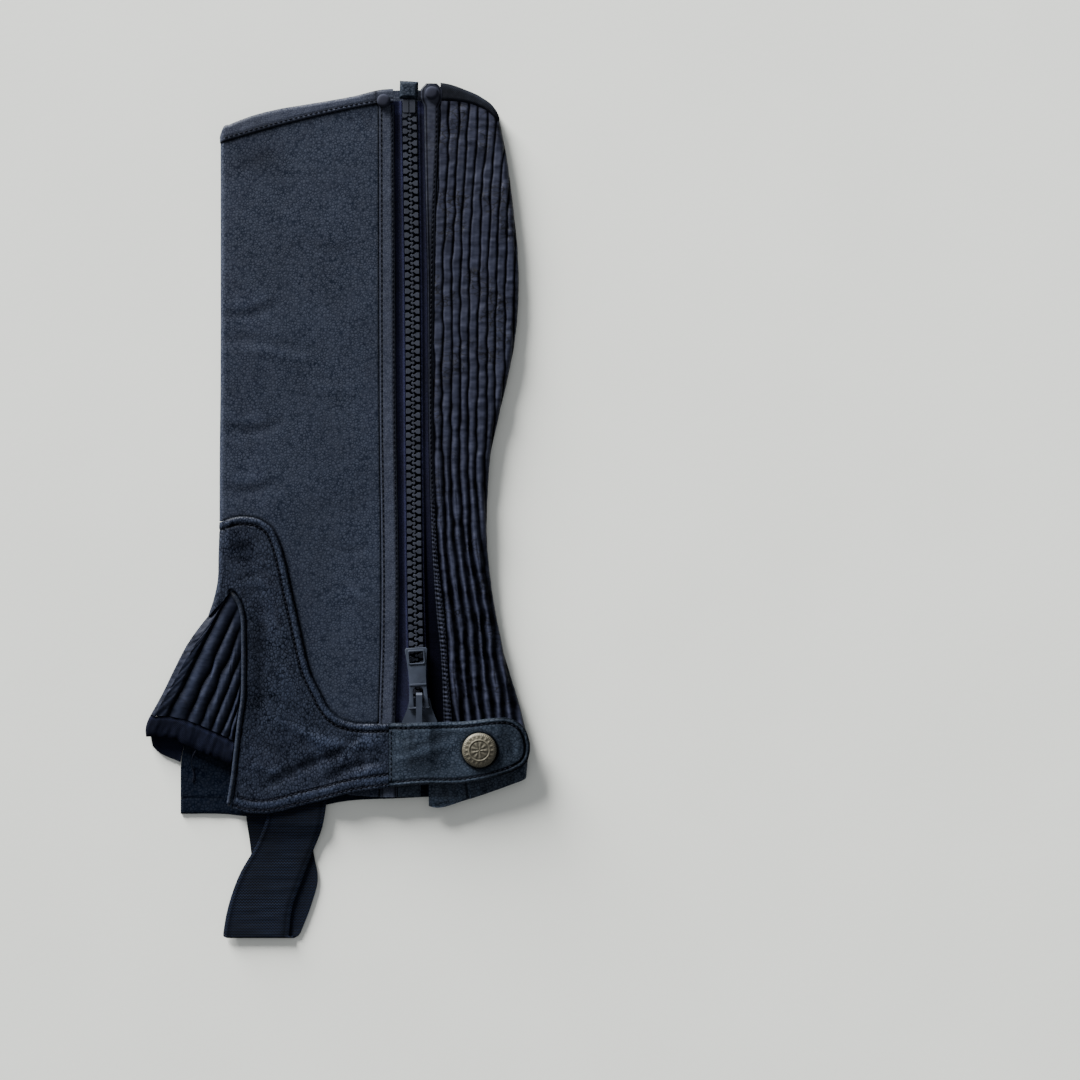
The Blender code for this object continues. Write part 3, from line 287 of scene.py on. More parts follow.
def fold_place(run, radius, depth=0.0, rise=0.0):
    """(distance in from the fold, height) of a wall folded to twice the radius. Run is the way along its outer face
    from the fold's outermost line, above it where positive and below it where negative."""
    angle = np.clip(run / radius, -math.pi / 2, math.pi / 2)
    rise = np.where(np.asarray(rise) > 0, rise * (1 + np.sin(angle)) / 2, rise)
    reach = radius - depth + rise
    straight_on = np.maximum(np.abs(run) - math.pi * radius / 2, 0.0)
    return radius - reach * np.cos(angle) + straight_on, radius + reach * np.sin(angle)


def run_for(distance):
    """The run at which the upper leaf of a long fold lies this far in from the fold."""
    distance = np.asarray(distance, float)
    turned = FOLD_RADIUS * np.arccos(1 - np.clip(distance, 0, FOLD_RADIUS) / FOLD_RADIUS)
    return np.where(distance >= FOLD_RADIUS, QUARTER + distance - FOLD_RADIUS, turned)


def hashed(i, j, seed):
    value = np.sin(i * 127.1 + j * 311.7 + seed * 74.7) * 43758.5453
    return value - np.floor(value)


def noise(x, y, seed):
    """Smooth uneven hills from -1 to 1, about one to each unit."""
    x, y = np.broadcast_arrays(np.asarray(x, float), np.asarray(y, float))
    i, j = np.floor(x), np.floor(y)
    u, v = x - i, y - j
    u, v = u * u * (3 - 2 * u), v * v * (3 - 2 * v)
    near = hashed(i, j, seed) * (1 - u) + hashed(i + 1, j, seed) * u
    far = hashed(i, j + 1, seed) * (1 - u) + hashed(i + 1, j + 1, seed) * u
    return 2 * (near * (1 - v) + far * v) - 1


def nearest(x, y, line):
    """For each point: its distance to a line, and how far along the line that is, in mm."""
    best, along, done = np.full(np.shape(x), 1e9), np.zeros(np.shape(x)), 0.0
    for a, b in zip(line, line[1:]):
        d = b - a
        length = math.hypot(*d)
        t = np.clip(((x - a[0]) * d[0] + (y - a[1]) * d[1]) / length**2, 0, 1)
        gap = np.hypot(x - a[0] - t * d[0], y - a[1] - t * d[1])
        closer = gap < best
        best = np.where(closer, gap, best)
        along = np.where(closer, done + t * length, along)
        done += length
    return best, along


def creased(x, y, creases):
    """The height of soft folds in a panel. A crease is (half width, height, seed, points), a trough where negative."""
    total = np.zeros(np.shape(x))
    for width, height, seed, points in creases:
        line = path(points, evenly(4 * len(points)))
        length = np.linalg.norm(np.diff(line, axis=0), axis=1).sum()
        gap, along = nearest(x, y, line)
        taper = np.sin(math.pi * np.clip(along / length, 0.0, 1.0)) ** 0.5
        uneven = 1 + 0.35 * noise(along / 5.0, seed * 3.1, seed)
        total += height * taper * uneven * bump(gap, 0, width * uneven)
    return total


def edge_of(table, shift=0.0):
    return lambda y: smooth(table, y) + shift


# ---------------------------------------------------------------- making meshes


def finish_mesh(name, points, faces, material, shade_and_tone=None, sharp=55, body="chap"):
    """Stores per-point painted shade, highlights and some tone: over 0 they darken the material, under 0 lighten it."""
    mesh = bpy.data.meshes.new(name)
    mesh.from_pydata((np.asarray(points, float) * MM).tolist(), [], faces)
    build = bmesh.new()
    build.from_mesh(mesh)
    bmesh.ops.recalc_face_normals(build, faces=build.faces)
    build.to_mesh(mesh)
    build.free()
    if shade_and_tone is not None:
        mesh.attributes.new("shade_and_tone", "FLOAT", "POINT").data.foreach_set("value", np.asarray(shade_and_tone, np.float32))
    mesh.shade_smooth()
    mesh.set_sharp_from_angle(angle=math.radians(sharp))
    mesh.materials.append(material)
    made = bpy.data.objects.new(name, mesh)
    bpy.context.scene.collection.objects.link(made)
    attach(made, body)
    return made


def shell(name, outer, inner, material, shade_and_tone, every=(4, 4)):
    """A closed cloth wall between two grids of columns and rows. The inner one may be given as heights alone, and has
    one point for every so many of the outer one's."""
    outer = np.asarray(outer)
    inner = np.asarray(inner) if np.ndim(inner) == 3 else stack(outer[..., 0], outer[..., 1], inner)
    across, down = every
    inner = inner[::across, ::down]
    columns, rows = outer.shape[:2]
    inner_columns, inner_rows = inner.shape[:2]
    assert columns == (inner_columns - 1) * across + 1 and rows == (inner_rows - 1) * down + 1, name

    def out(c, r):
        return c * rows + r

    def into(c, r):
        return columns * rows + c * inner_rows + r

    faces = []
    for place, wide, high in ((out, columns, rows), (into, inner_columns, inner_rows)):
        c, r = np.meshgrid(np.arange(wide - 1), np.arange(high - 1), indexing="ij")
        corners = [place(c, r), place(c + 1, r), place(c + 1, r + 1), place(c, r + 1)]
        faces += np.stack(corners, -1).reshape(-1, 4).tolist()
    for c, k in ((0, 0), (columns - 1, inner_columns - 1)):
        for r in range(inner_rows - 1):
            faces.append([out(c, r * down + n) for n in range(down + 1)] + [into(k, r + 1), into(k, r)])
    for r, k in ((0, 0), (rows - 1, inner_rows - 1)):
        for c in range(inner_columns - 1):
            faces.append([out(c * across + n, r) for n in range(across + 1)] + [into(c + 1, k), into(c, k)])
    points = np.concatenate([outer.reshape(-1, 3), inner.reshape(-1, 3)])
    shade_and_tone = np.broadcast_to(shade_and_tone, outer.shape[:2]).ravel()
    return finish_mesh(name, points, faces, material, np.concatenate([shade_and_tone, np.zeros(inner[..., 0].size)]))


def folded_panel(keys, counts, fold, side, upper, lower, rows, lift):
    """The outer and inner grids of a panel that turns round a long fold, and the x, y and run of the outer one. The
    columns divide the spans between the key runs, which may be functions of y, into so many each."""
    spans = [(a, b, k / n) for a, b, n in zip(keys, keys[1:], counts) for k in range(n)] + [(keys[-1], keys[-1], 0.0)]

    def run_at(y):
        found = np.empty(y.shape)
        for c, (a, b, share) in enumerate(spans):
            ends = [key(y[c]) if callable(key) else key for key in (a, b)]
            found[c] = between(*ends, share)
        return found

    def x_at(y):
        return smooth(fold, y) + side * fold_place(run_at(y), FOLD_RADIUS)[0]

    start = np.zeros((len(spans), 1))
    end = np.zeros((len(spans), 1))
    for _ in range(12):
        start, end = upper(x_at(start), run_at(start)), lower(x_at(end), run_at(end))
    y = between(start, end, evenly(rows))
    run, x = run_at(y), x_at(y)
    grids = []
    for depth, rise in ((0.0, lift(x, y, run)), (LEATHER, 0.0)):
        across, z = fold_place(run, FOLD_RADIUS, depth, rise)
        grids.append(stack(smooth(fold, y) + side * across, y, z))
    return *grids, x, y, run


def strip(name, left, right, ys, bottom, top, material, shade_and_tone):
    """A long strip between two edges given as functions of y. Its top and its painted shade and tone are functions of
    the share across, y and the width there."""
    share, y = evenly(17)[:, None], ys[None, :]
    width = right(y) - left(y)
    outer = stack(left(y) + width * share, y, top(share, y, width))
    return shell(name, outer, bottom, material, shade_and_tone(share, y, width))


def ringed(base, sides, count):
    """The faces of a tube of so many rings of points, with its two ends last."""
    starts = [base + i * sides for i in range(count)]
    faces = [[a + j, a + (j + 1) % sides, b + (j + 1) % sides, b + j] for a, b in zip(starts, starts[1:])
             for j in range(sides)]
    return faces + [[starts[i] + j for j in range(sides)] for i in (0, -1)]


def tube(name, centre, radius, material, sides, shade_and_tone=None):
    """A round cord along points (x, y, z); its radius and its painted shade may be one for each point."""
    along = np.gradient(centre, axis=0)
    along /= np.linalg.norm(along, axis=1)[:, None]
    across = np.cross(along, (0, 0, 1.0))
    across /= np.linalg.norm(across, axis=1)[:, None]
    up = np.cross(across, along)
    radius = np.broadcast_to(radius, len(centre))[:, None, None]
    angle = np.linspace(0, 2 * math.pi, sides, endpoint=False)[None, :, None]
    ring = centre[:, None] + radius * (across[:, None] * np.cos(angle) + up[:, None] * np.sin(angle))
    shade = None if shade_and_tone is None else np.repeat(shade_and_tone, sides)
    return finish_mesh(name, ring.reshape(-1, 3), ringed(0, sides, len(centre)), material, shade)


def sewn(name, lines, height):
    """Rows of stitches along lines of (x, y) points. Height gives the cloth's surface at x, y."""
    pitch, gap, radius = 2.9, 0.5, 0.3
    points, faces = [], []
    bend = np.array([-0.32, 0.05, 0.16, 0.16, 0.05, -0.32])
    girth = np.array([0.35, 1.0, 1.0, 1.0, 1.0, 0.35])[:, None, None] * radius
    angle = np.linspace(0, 2 * math.pi, 6, endpoint=False)[:, None]
    for line in lines:
        fine = path(line, evenly(6 * len(line)))
        run = np.concatenate([[0.0], np.cumsum(np.linalg.norm(np.diff(fine, axis=0), axis=1))])
        count = max(int(run[-1] / pitch), 1)
        size = run[-1] / count
        for k in range(count):
            at = k * size + gap / 2 + (size - gap) * evenly(len(bend))
            x, y = np.interp(at, run, fine[:, 0]), np.interp(at, run, fine[:, 1])
            centre = np.stack([x, y, height(x, y) + bend], 1)
            along = centre[-1] - centre[0]
            across = np.array([-along[1], along[0], 0.0]) / math.hypot(along[0], along[1])
            faces += ringed(len(points) * 36, 6, 6)
            ring = centre[:, None] + girth * (across * np.cos(angle) + np.array([0, 0, 1.0]) * np.sin(angle))
            points.append(ring.reshape(-1, 3))
    return finish_mesh(name, np.concatenate(points), faces, THREAD, sharp=80)


# ---------------------------------------------------------------- materials


class Shader:
    """A material whose nodes are added one by one."""

    def __init__(self, name, specular, metallic=0.0):
        self.material = bpy.data.materials.new(name)
        self.material.use_nodes = True
        self.tree = self.material.node_tree
        self.surface = self.tree.nodes["Principled BSDF"].inputs
        self.surface["Specular IOR Level"].default_value = specular
        self.surface["Metallic"].default_value = metallic
        self.specular = specular
        self.where = self.add("TexCoord").outputs["Object"]

    def add(self, kind, inputs=None, **settings):
        node = self.tree.nodes.new("ShaderNode" + kind)
        for key, value in settings.items():
            setattr(node, key, value)
        for key, value in (inputs or {}).items():
            self.put(value, node.inputs[key])
        return node

    def put(self, value, socket):
        if isinstance(value, bpy.types.NodeSocket):
            self.tree.links.new(value, socket)
        else:
            socket.default_value = value

    def maths(self, operation, a, b=0.0, clamp=False):
        return self.add("Math", {0: a, 1: b}, operation=operation, use_clamp=clamp).outputs[0]

    def times(self, first, *others):
        for other in others:
            first = self.maths("MULTIPLY", first, other)
        return first

    def less(self, value, whole=1.0):
        return self.maths("SUBTRACT", whole, value)

    def vector(self, operation, a, b):
        second = "Scale" if operation == "SCALE" else 1
        return self.add("VectorMath", {0: a, second: b}, operation=operation).outputs[0]

    def spread(self, value, low, high, new_low=0.0, new_high=1.0):
        inputs = {"Value": value, "From Min": low, "From Max": high, "To Min": new_low, "To Max": new_high}
        return self.add("MapRange", inputs, interpolation_type="SMOOTHSTEP").outputs["Result"]

    def uneven(self, noise, low, high):
        """A noise spread from low to high."""
        return self.spread(noise, 0.3, 0.7, low, high)

    def noise(self, scale, detail=2.0, vector=None, rough=0.5, output="Fac"):
        inputs = {"Vector": vector or self.where, "Scale": scale, "Detail": detail, "Roughness": rough}
        return self.add("TexNoise", inputs).outputs[output]

    def moved(self, place, scale, detail, reach):
        """A place moved about by noise, by up to half this reach."""
        centred = self.vector("SUBTRACT", self.noise(scale, detail, output="Color"), (0.5, 0.5, 0.5))
        return self.vector("ADD", place, self.vector("SCALE", centred, reach))

    def cells(self, place, scale, wild=1.0):
        """The distance to the nearest edge of cells."""
        inputs = {"Vector": place, "Scale": scale, "Randomness": wild}
        return self.add("TexVoronoi", inputs, feature="DISTANCE_TO_EDGE").outputs[0]

    def split(self, place):
        return self.add("SeparateXYZ", {"Vector": place}).outputs

    def scaled(self, place, scale):
        return self.add("Mapping", {"Vector": place, "Scale": scale}).outputs["Vector"]

    # The mesh's per-point painted shade and highlights, with some tone.
    def shade_and_tone(self):
        return self.add("Attribute", attribute_name="shade_and_tone").outputs["Fac"]

    def open_share(self, low, high):
        """How open a place lies to the light, as painted shade: 1 less the mesh's painted value, from low to high."""
        return self.maths("MINIMUM", self.maths("MAXIMUM", self.less(self.shade_and_tone()), low), high)

    def mix(self, factor, first, second, blend="MIX"):
        """The base colour as a mix of two."""
        node = self.add("Mix", {0: factor}, data_type="RGBA", blend_type=blend)
        for value, socket in zip((first, second), [s for s in node.inputs if s.type == "RGBA"]):
            self.put(value, socket)
        self.put(next(s for s in node.outputs if s.type == "RGBA"), self.surface["Base Color"])

    def colour(self, base, shade):
        """The base colour times a shade socket."""
        grey = self.add("CombineColor", {0: shade, 1: shade, 2: shade}).outputs[0]
        self.mix(1.0, (*base, 1.0), grey, "MULTIPLY")

    def relief(self, *layers):
        """Bumps laid on each other: (height socket, distance in mm, strength)."""
        normal = None
        for height, distance, strength in layers:
            inputs = {"Height": height, "Distance": distance * MM, "Strength": strength}
            if normal:
                inputs["Normal"] = normal
            normal = self.add("Bump", inputs).outputs["Normal"]
        self.put(normal, self.surface["Normal"])

    def rough(self, value):
        self.put(value, self.surface["Roughness"])

    def shine(self, share):
        """The specular level times a share socket, so that hollows don't glint."""
        self.put(self.maths("MULTIPLY", share, self.specular, True), self.surface["Specular IOR Level"])


def fan_lines(m, place, middle, inner, outer, strength):
    """Fine lines that run out from a middle, between two distances from it."""
    at = m.split(place)
    x, y = m.maths("SUBTRACT", at[0], middle[0] * MM), m.maths("SUBTRACT", at[1], middle[1] * MM)
    reach = m.maths("SQRT", m.maths("ADD", m.times(x, x), m.times(y, y)))
    turn = m.maths("ARCTAN2", y, m.maths("ADD", x, 0.00001))
    bend = m.maths("ADD", m.times(turn, 9.0), m.times(m.noise(70.0), 3.0))
    spokes = m.add("CombineXYZ", {0: bend, 1: m.times(reach, 55.0), 2: 0.0}).outputs[0]
    ray = m.maths("ABSOLUTE", m.maths("SUBTRACT", m.noise(1.0, 1.0, spokes, 0.4), 0.5))
    near = m.times(m.spread(reach, inner * MM, 1.6 * inner * MM),
                   m.spread(reach, 0.5 * outer * MM, outer * MM, 1.0, 0.0))
    return m.times(m.less(m.spread(ray, 0.0, 0.03)), near, strength)


def grained_leather(name, base, roughness, cell, depth, specular=0.28, streak=(1, 1, 1), shade=0.5, vary=0.08,
                    wrinkle=0.0, fan=None, warp=1.0, wild=0.85):
    """Leather with a pebbled grain of cells about this many mm across. Its cracks come and go."""
    m = Shader(name, specular)
    place = m.moved(m.where, 300.0, 2.0, warp * MM)
    laid = m.scaled(place, streak)
    scale = 1 / (cell * MM)
    edge = m.cells(laid, scale, wild)
    tint = m.split(m.add("TexVoronoi", {"Vector": laid, "Scale": scale, "Randomness": wild}).outputs["Color"])[0]
    deep = m.times(m.spread(m.noise(420.0, 1.0), 0.36, 0.6, 0.62, 1.0), m.uneven(m.noise(75.0), 0.8, 1.0))
    crack = m.times(m.less(m.spread(edge, 0.0, 0.24)), deep)
    if wrinkle:
        net = m.cells(m.moved(m.where, 130.0, 3.0, 7.0 * MM), 1 / (4.6 * MM))
        shown = m.times(m.spread(m.noise(40.0), 0.40, 0.7), wrinkle)
        crack = m.maths("MAXIMUM", crack, m.times(m.less(m.spread(net, 0.0, 0.11)), shown))
    if fan:
        crack = m.maths("MAXIMUM", crack, fan_lines(m, place, *fan))
    patches, broad = m.noise(22.0, 3.0), m.noise(60.0)
    # The mesh's painted shade and highlights darken or lighten the colour here, through open_share.
    open_share = m.open_share(0.04, 2.2)
    lit = m.times(m.less(m.times(crack, shade), 1.12), m.uneven(patches, 0.96, 1.04),
                  m.spread(tint, 0.0, 1.0, 1.0 - vary, 1.0 + vary), m.uneven(broad, 0.95, 1.05))
    m.colour(base, m.times(lit, open_share))
    m.shine(m.times(m.less(crack), m.maths("MINIMUM", open_share, 1.0)))
    m.rough(m.uneven(patches, roughness - 0.04, roughness + 0.06))
    m.relief((broad, 0.25, 0.6), (m.spread(edge, 0.0, 0.5), depth, 1.0), (crack, -0.6 * depth, 1.0))
    return m.material


def rib_leather(name, base, roughness, specular, crinkle, cracked):
    """Thin smooth leather, pulled into fine wrinkles across its ribs, with painted shade black between them."""
    m = Shader(name, specular)
    across = m.noise(1.0, 2.0, m.scaled(m.where, (190.0, 520.0, 400.0)))
    cracks = m.cells(m.moved(m.scaled(m.where, (180.0, 380.0, 250.0)), 210.0, 2.0, 0.9), 1.0)
    crack = m.times(m.less(m.spread(cracks, 0.0, 0.12)), m.times(m.spread(m.noise(60.0), 0.44, 0.62), cracked))
    # Painted shade, black between the ribs, and painted highlights come in through open_share.
    open_share = m.open_share(0.05, 2.5)
    # The tone follows the crinkles' bump height, painted light on their tops and painted shade between; cracks are
    # grain.
    tone = m.times(m.uneven(across, 1.0 - crinkle, 1.0 + crinkle), m.less(crack), m.uneven(m.noise(30.0), 0.92, 1.08))
    m.colour(base, m.times(open_share, tone))
    m.shine(m.times(m.maths("MINIMUM", open_share, 1.3), m.spread(across, 0.35, 0.65, 0.8, 1.1)))
    m.rough(m.uneven(across, roughness - 0.03, roughness + 0.06))
    m.relief((m.noise(1000.0, 3.0), 0.012, 0.5), (crack, -0.05, 0.7), (across, 0.07, 0.9))
    return m.material


def woven(name, base, thread, low, high, lines=0.45, rib=0.0, specular=0.15):
    """Plain cloth: threads cross this many mm apart. Rib is the spacing of its lines along Y, if it has any."""
    m = Shader(name, specular)
    turn = 2 * math.pi / (thread * MM)
    drift = m.times(m.noise(60.0), 0.5 * MM)
    x, y = (m.maths("ADD", axis, drift) for axis in m.split(m.where)[:2])
    waves = [m.maths("SINE", m.times(axis, turn)) for axis in (x, y)]
    height = m.spread(m.times(*waves), -0.8, 0.8)
    if rib:
        cord = m.maths("ABSOLUTE", m.maths("SINE", m.times(y, math.pi / (rib * MM))))
        height = m.times(height, m.spread(cord, 0.0, 0.8, lines, 1.0))
    fuzz = m.noise(1500.0, 3.0)
    open_share = m.open_share(0.05, 4.0)
    worn = m.times(m.uneven(fuzz, 0.75, 1.2), m.uneven(m.noise(45.0, 3.0), 0.75, 1.2))
    # Colour follows the weave's height: painted light on thread tops, painted shade between; open_share adds painted
    # shade.
    m.colour(base, m.times(m.times(m.spread(height, 0.0, 1.0, low, high), open_share), worn))
    m.shine(m.maths("MINIMUM", open_share, 1.0))
    m.rough(0.9)
    m.relief((fuzz, 0.03, 0.7), (height, 0.06, 1.0))
    return m.material


def moulded(name, base, roughness, specular, metallic=0.0, grain=0.02):
    """Moulded plastic or paint with faint mottling and wear."""
    m = Shader(name, specular, metallic)
    patches = m.noise(140.0, 3.0)
    m.colour(base, m.uneven(patches, 0.85, 1.15))
    m.rough(m.uneven(patches, roughness - 0.05, roughness + 0.08))
    m.relief((m.noise(1600.0), grain, 0.6))
    return m.material


def brushed_brass(name):
    """Antique brass: dark in its hollows, rubbed bright on its high places, which its groove gives."""
    m = Shader(name, 0.5, 0.65)
    patches = m.noise(420.0, 4.0)
    rubbed = m.maths("MULTIPLY", m.spread(m.shade_and_tone(), -0.25, 0.45), m.uneven(patches, 0.55, 1.1), True)
    m.mix(rubbed, (0.062, 0.057, 0.043, 1.0), (0.158, 0.144, 0.109, 1.0))
    m.rough(m.uneven(patches, 0.5, 0.68))
    m.relief((m.noise(1400.0, 3.0), 0.05, 0.7))
    return m.material


# ---------------------------------------------------------------- finishes

APEX_FAN = ((-62.9, -48.0), 5.0, 42.0, 0.62)
LEG = grained_leather("leg_leather", (0.0147, 0.0199, 0.0362), 0.62, 1.65, 0.03, shade=0.58, vary=0.05, wrinkle=0.10,
                      warp=0.9)
FACING = grained_leather("facing_leather", (0.0242, 0.0290, 0.0474), 0.6, 1.3, 0.02, shade=0.35, vary=0.06)
FOOT = grained_leather("foot_leather", (0.0086, 0.0130, 0.0275), 0.6, 1.8, 0.05, streak=(1.15, 0.8, 1.0), shade=0.95,
                       warp=1.7, wild=1.0, wrinkle=0.6, fan=APEX_FAN)
CORD = grained_leather("cord_leather", (0.0098, 0.0132, 0.0240), 0.62, 1.2, 0.02, shade=0.3, vary=0.06)
UNDERFOOT = grained_leather("underfoot_leather", (0.0021, 0.0046, 0.0118), 0.7, 1.9, 0.05, specular=0.12)
STRAP = grained_leather("strap_leather", (0.0186, 0.0276, 0.0446), 0.62, 1.8, 0.03, streak=(0.9, 1.15, 1.0), shade=0.7,
                        wrinkle=0.35, warp=1.6, wild=1.0)
RIBS = rib_leather("rib_leather", (0.0168, 0.0198, 0.0402), 0.52, 0.26, 0.16, 0.8)
CALF_EDGE = rib_leather("calf_edge_leather", (0.0165, 0.0195, 0.0365), 0.52, 0.28, 0.12, 0.3)
GUSSET = rib_leather("gusset_leather", (0.0084, 0.0115, 0.0262), 0.5, 0.20, 0.15, 0.35)
TAPE = woven("zip_tape", (0.0114, 0.0124, 0.0340), 0.9, 0.5, 1.3, 0.7, 1.6)
BOUND = woven("binding_cloth", (0.0034, 0.0046, 0.0128), 1.1, 0.3, 1.7, specular=0.08)
TOP_BOUND = woven("top_binding_cloth", (0.0058, 0.0069, 0.0106), 1.1, 0.3, 1.8, specular=0.08)
ELASTIC_CLOTH = woven("elastic_cloth", (0.0018, 0.0034, 0.0090), 1.7, 0.0, 3.6, 0.15, 1.7)
THREAD = moulded("thread", (0.0030, 0.0038, 0.0085), 0.75, 0.1, grain=0.05)
TEETH = moulded("moulded_teeth", (0.0185, 0.0218, 0.0345), 0.6, 0.25)
RIVET = moulded("painted_rivet", (0.0165, 0.0182, 0.0300), 0.8, 0.1, grain=0.04)
PAINT = moulded("painted_metal", (0.0228, 0.0290, 0.0455), 0.62, 0.22, metallic=0.1)
BRASS = brushed_brass("antique_brass")


def dress(piece, nodes):
    """Hides the frame's solids that a piece stands for, and returns the piece."""
    if nodes:
        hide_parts(*nodes)
    return piece


# ---------------------------------------------------------------- leg


def under_arch(x):
    """The arch on the lower leaf."""
    return straight([(at, float(smooth(ARCH, at))) for at in ARCH_COLUMNS] + [ARCH[-1]], x)


def under_leg_edge(x):
    """The leg panel's edge on the lower leaf, a seam's width off the arch."""
    slope = under_arch(x + 0.5) - under_arch(x - 0.5)
    return under_arch(x) + SEAM * np.sqrt(1 + slope * slope)


ARCH_POINTS = [(x, smooth(ARCH, x)) for x in ARCH_COLUMNS[:-1]] + [(STRAP_SEAM, ARCH[-1][1])]
ARCH_LINE = path(ARCH_POINTS, evenly(90))

LEG_CREASES = [
    (3.4, -0.26, 1, [(-68.4, 112.1), (-48.1, 113.8), (-33.6, 120.8)]),
    (3.4, 0.18, 2, [(-68.4, 117.3), (-49.9, 119.0), (-36.0, 125.4)]),
    (3.6, -0.22, 3, [(-68.4, 97.6), (-51.0, 98.7), (-33.6, 95.8), (-12.2, 91.8)]),
    (3.6, 0.18, 4, [(-68.4, 92.4), (-51.0, 92.9), (-32.5, 90.0), (-15.1, 85.4)]),
    (3.2, -0.28, 5, [(-67.3, 49.4), (-53.9, 45.4), (-41.2, 47.1), (-29.6, 52.3)]),
    (3.2, 0.18, 6, [(-67.3, 54.7), (-53.9, 51.2), (-42.3, 52.9), (-31.9, 57.6)]),
    (3.2, -0.26, 7, [(-68.4, 14.6), (-55.7, 10.6), (-39.4, 13.5), (-29.6, 15.2)]),
    (3.2, 0.18, 8, [(-68.4, 19.9), (-54.5, 15.8), (-39.4, 18.7), (-30.2, 20.4)]),
    (1.6, -0.3, 9, [(12.8, 231.0), (16.2, 225.2), (19.1, 217.6)]),
    (1.4, -0.28, 10, [(19.1, 232.1), (20.3, 225.2), (22.6, 219.4)]),
    (1.4, -0.25, 11, [(8.1, 227.5), (11.6, 220.5), (13.9, 213.6)]),
    (3.5, -0.16, 12, [(-55.7, 197.3), (-44.1, 203.1), (-33.6, 207.8)]),
    (3.4, 0.16, 13, [(-22.0, 75.5), (-4.6, 68.6), (15.7, 70.9)]),
    (3.5, -0.18, 14, [(-22.0, 156.7), (-4.6, 149.8), (13.9, 153.3)]),
    (3, -0.18, 15, [(-10.4, -17.3), (4.1, -24.2), (19.7, -20.2)]),
    (3, 0.18, 16, [(-7.5, -52.1), (7.0, -49.7), (20.9, -54.4)]),
]


def leg_lift(x, y, run):
    """Soft hills, the main creases and, by the rivet, small folds in the leg panel."""
    upper = step(-QUARTER, 0.0, run)
    edge = step(0, 9, smooth(SHIN_FACING_LEFT, y) - x) * step(0, 8, smooth(LEG_TOP_LOWER, x) - y)
    clear = step(0.0, 10.0, y - straight(LEG_LAP, np.maximum(x, -62.6)) - 4.0)
    soft = hills(x, y, (0.12, 26, 34, 2), (0.03, 9, 11, 3))
    above = (soft * edge + creased(x, y, LEG_CREASES)) * clear
    below = -0.16 + hills(x, y, (0.1, 20, 26, 5), (0.05, 6, 8, 6))
    return above * upper + np.minimum(below, 0.0) * (1 - upper)


def leg_panel():
    def to_facing(y):
        return run_for(smooth(SHIN_FACING_LEFT, y) - SEAM - smooth(LEG_FOLD, y))

    def to_back_seam(y):
        return -run_for(smooth(BACK_SEAM, y) - SEAM / 2 - smooth(LEG_FOLD, y))

    def top(x, run):
        return smooth(LEG_TOP_LOWER, x) - SEAM

    def foot(x, run):
        return np.where(run > 0, straight(LEG_LAP, x), under_leg_edge(x)) - 0.25 * (x < -60.0)

    outer, inner, x, y, run = folded_panel([to_facing, QUARTER, -QUARTER, to_back_seam], [84, 12, 32], LEG_FOLD, 1,
                                           top, foot, 301, leg_lift)
    # Painted shade beside the zip's facing, under the top binding and under the foot panel's edge.
    shade_and_tone = 0.85 * bump(smooth(SHIN_FACING_LEFT, y) - x, 0, 0.9) + 0.7 * bump(smooth(LEG_TOP_LOWER, x) - y, 0, 0.8)
    shade_and_tone += 0.85 * bump(nearest(x, y, ARCH_LINE)[0], 0, 1.2) * (run > 0)
    # Painted shade and highlights on the creases.
    shade_and_tone -= 0.45 * np.clip(creased(x, y, LEG_CREASES), -0.6, 0.6)
    # Uneven tone, lighter towards the top, and a darker patch near the top left.
    shade_and_tone += 0.05 * noise(x / 18, y / 22, 8) - 0.08 * step(120.0, 220.0, y)
    shade_and_tone += 0.24 * bump(x, -47.0, 16.0) * bump(y, 202.0, 8.0)
    return shell("leg_leather_panel", outer, inner, LEG, shade_and_tone)


# ---------------------------------------------------------------- calf


def whole_run(y):
    return run_for(smooth(CALF_FOLD, y) - smooth(CALF_FACING_RIGHT, y) - SEAM)


def rib_shape(phase, pitch, y):
    """A rib's height share: broad and flat near the top, narrow and rounded near the ankle."""
    broad = 1 - bump(np.minimum(phase % 1.0, 1 - phase % 1.0) * pitch, 0, 0.72)
    narrow = np.sin(math.pi * (phase % 1.0)) ** 1.4
    share = step(-60.0, 120.0, y)
    return broad * share + narrow * (1 - share)


def rib_phase(y, run):
    """How many ribs lie between a place and the zip. Ribs waver a little, each by itself."""
    phase = (whole_run(y) - run) / smooth(RIB_PITCH, y)
    return phase + 0.10 * noise(y / 21.0, np.round(phase), 11) + 0.085 * noise(y / 7.5, np.round(phase) * 3.0, 24)


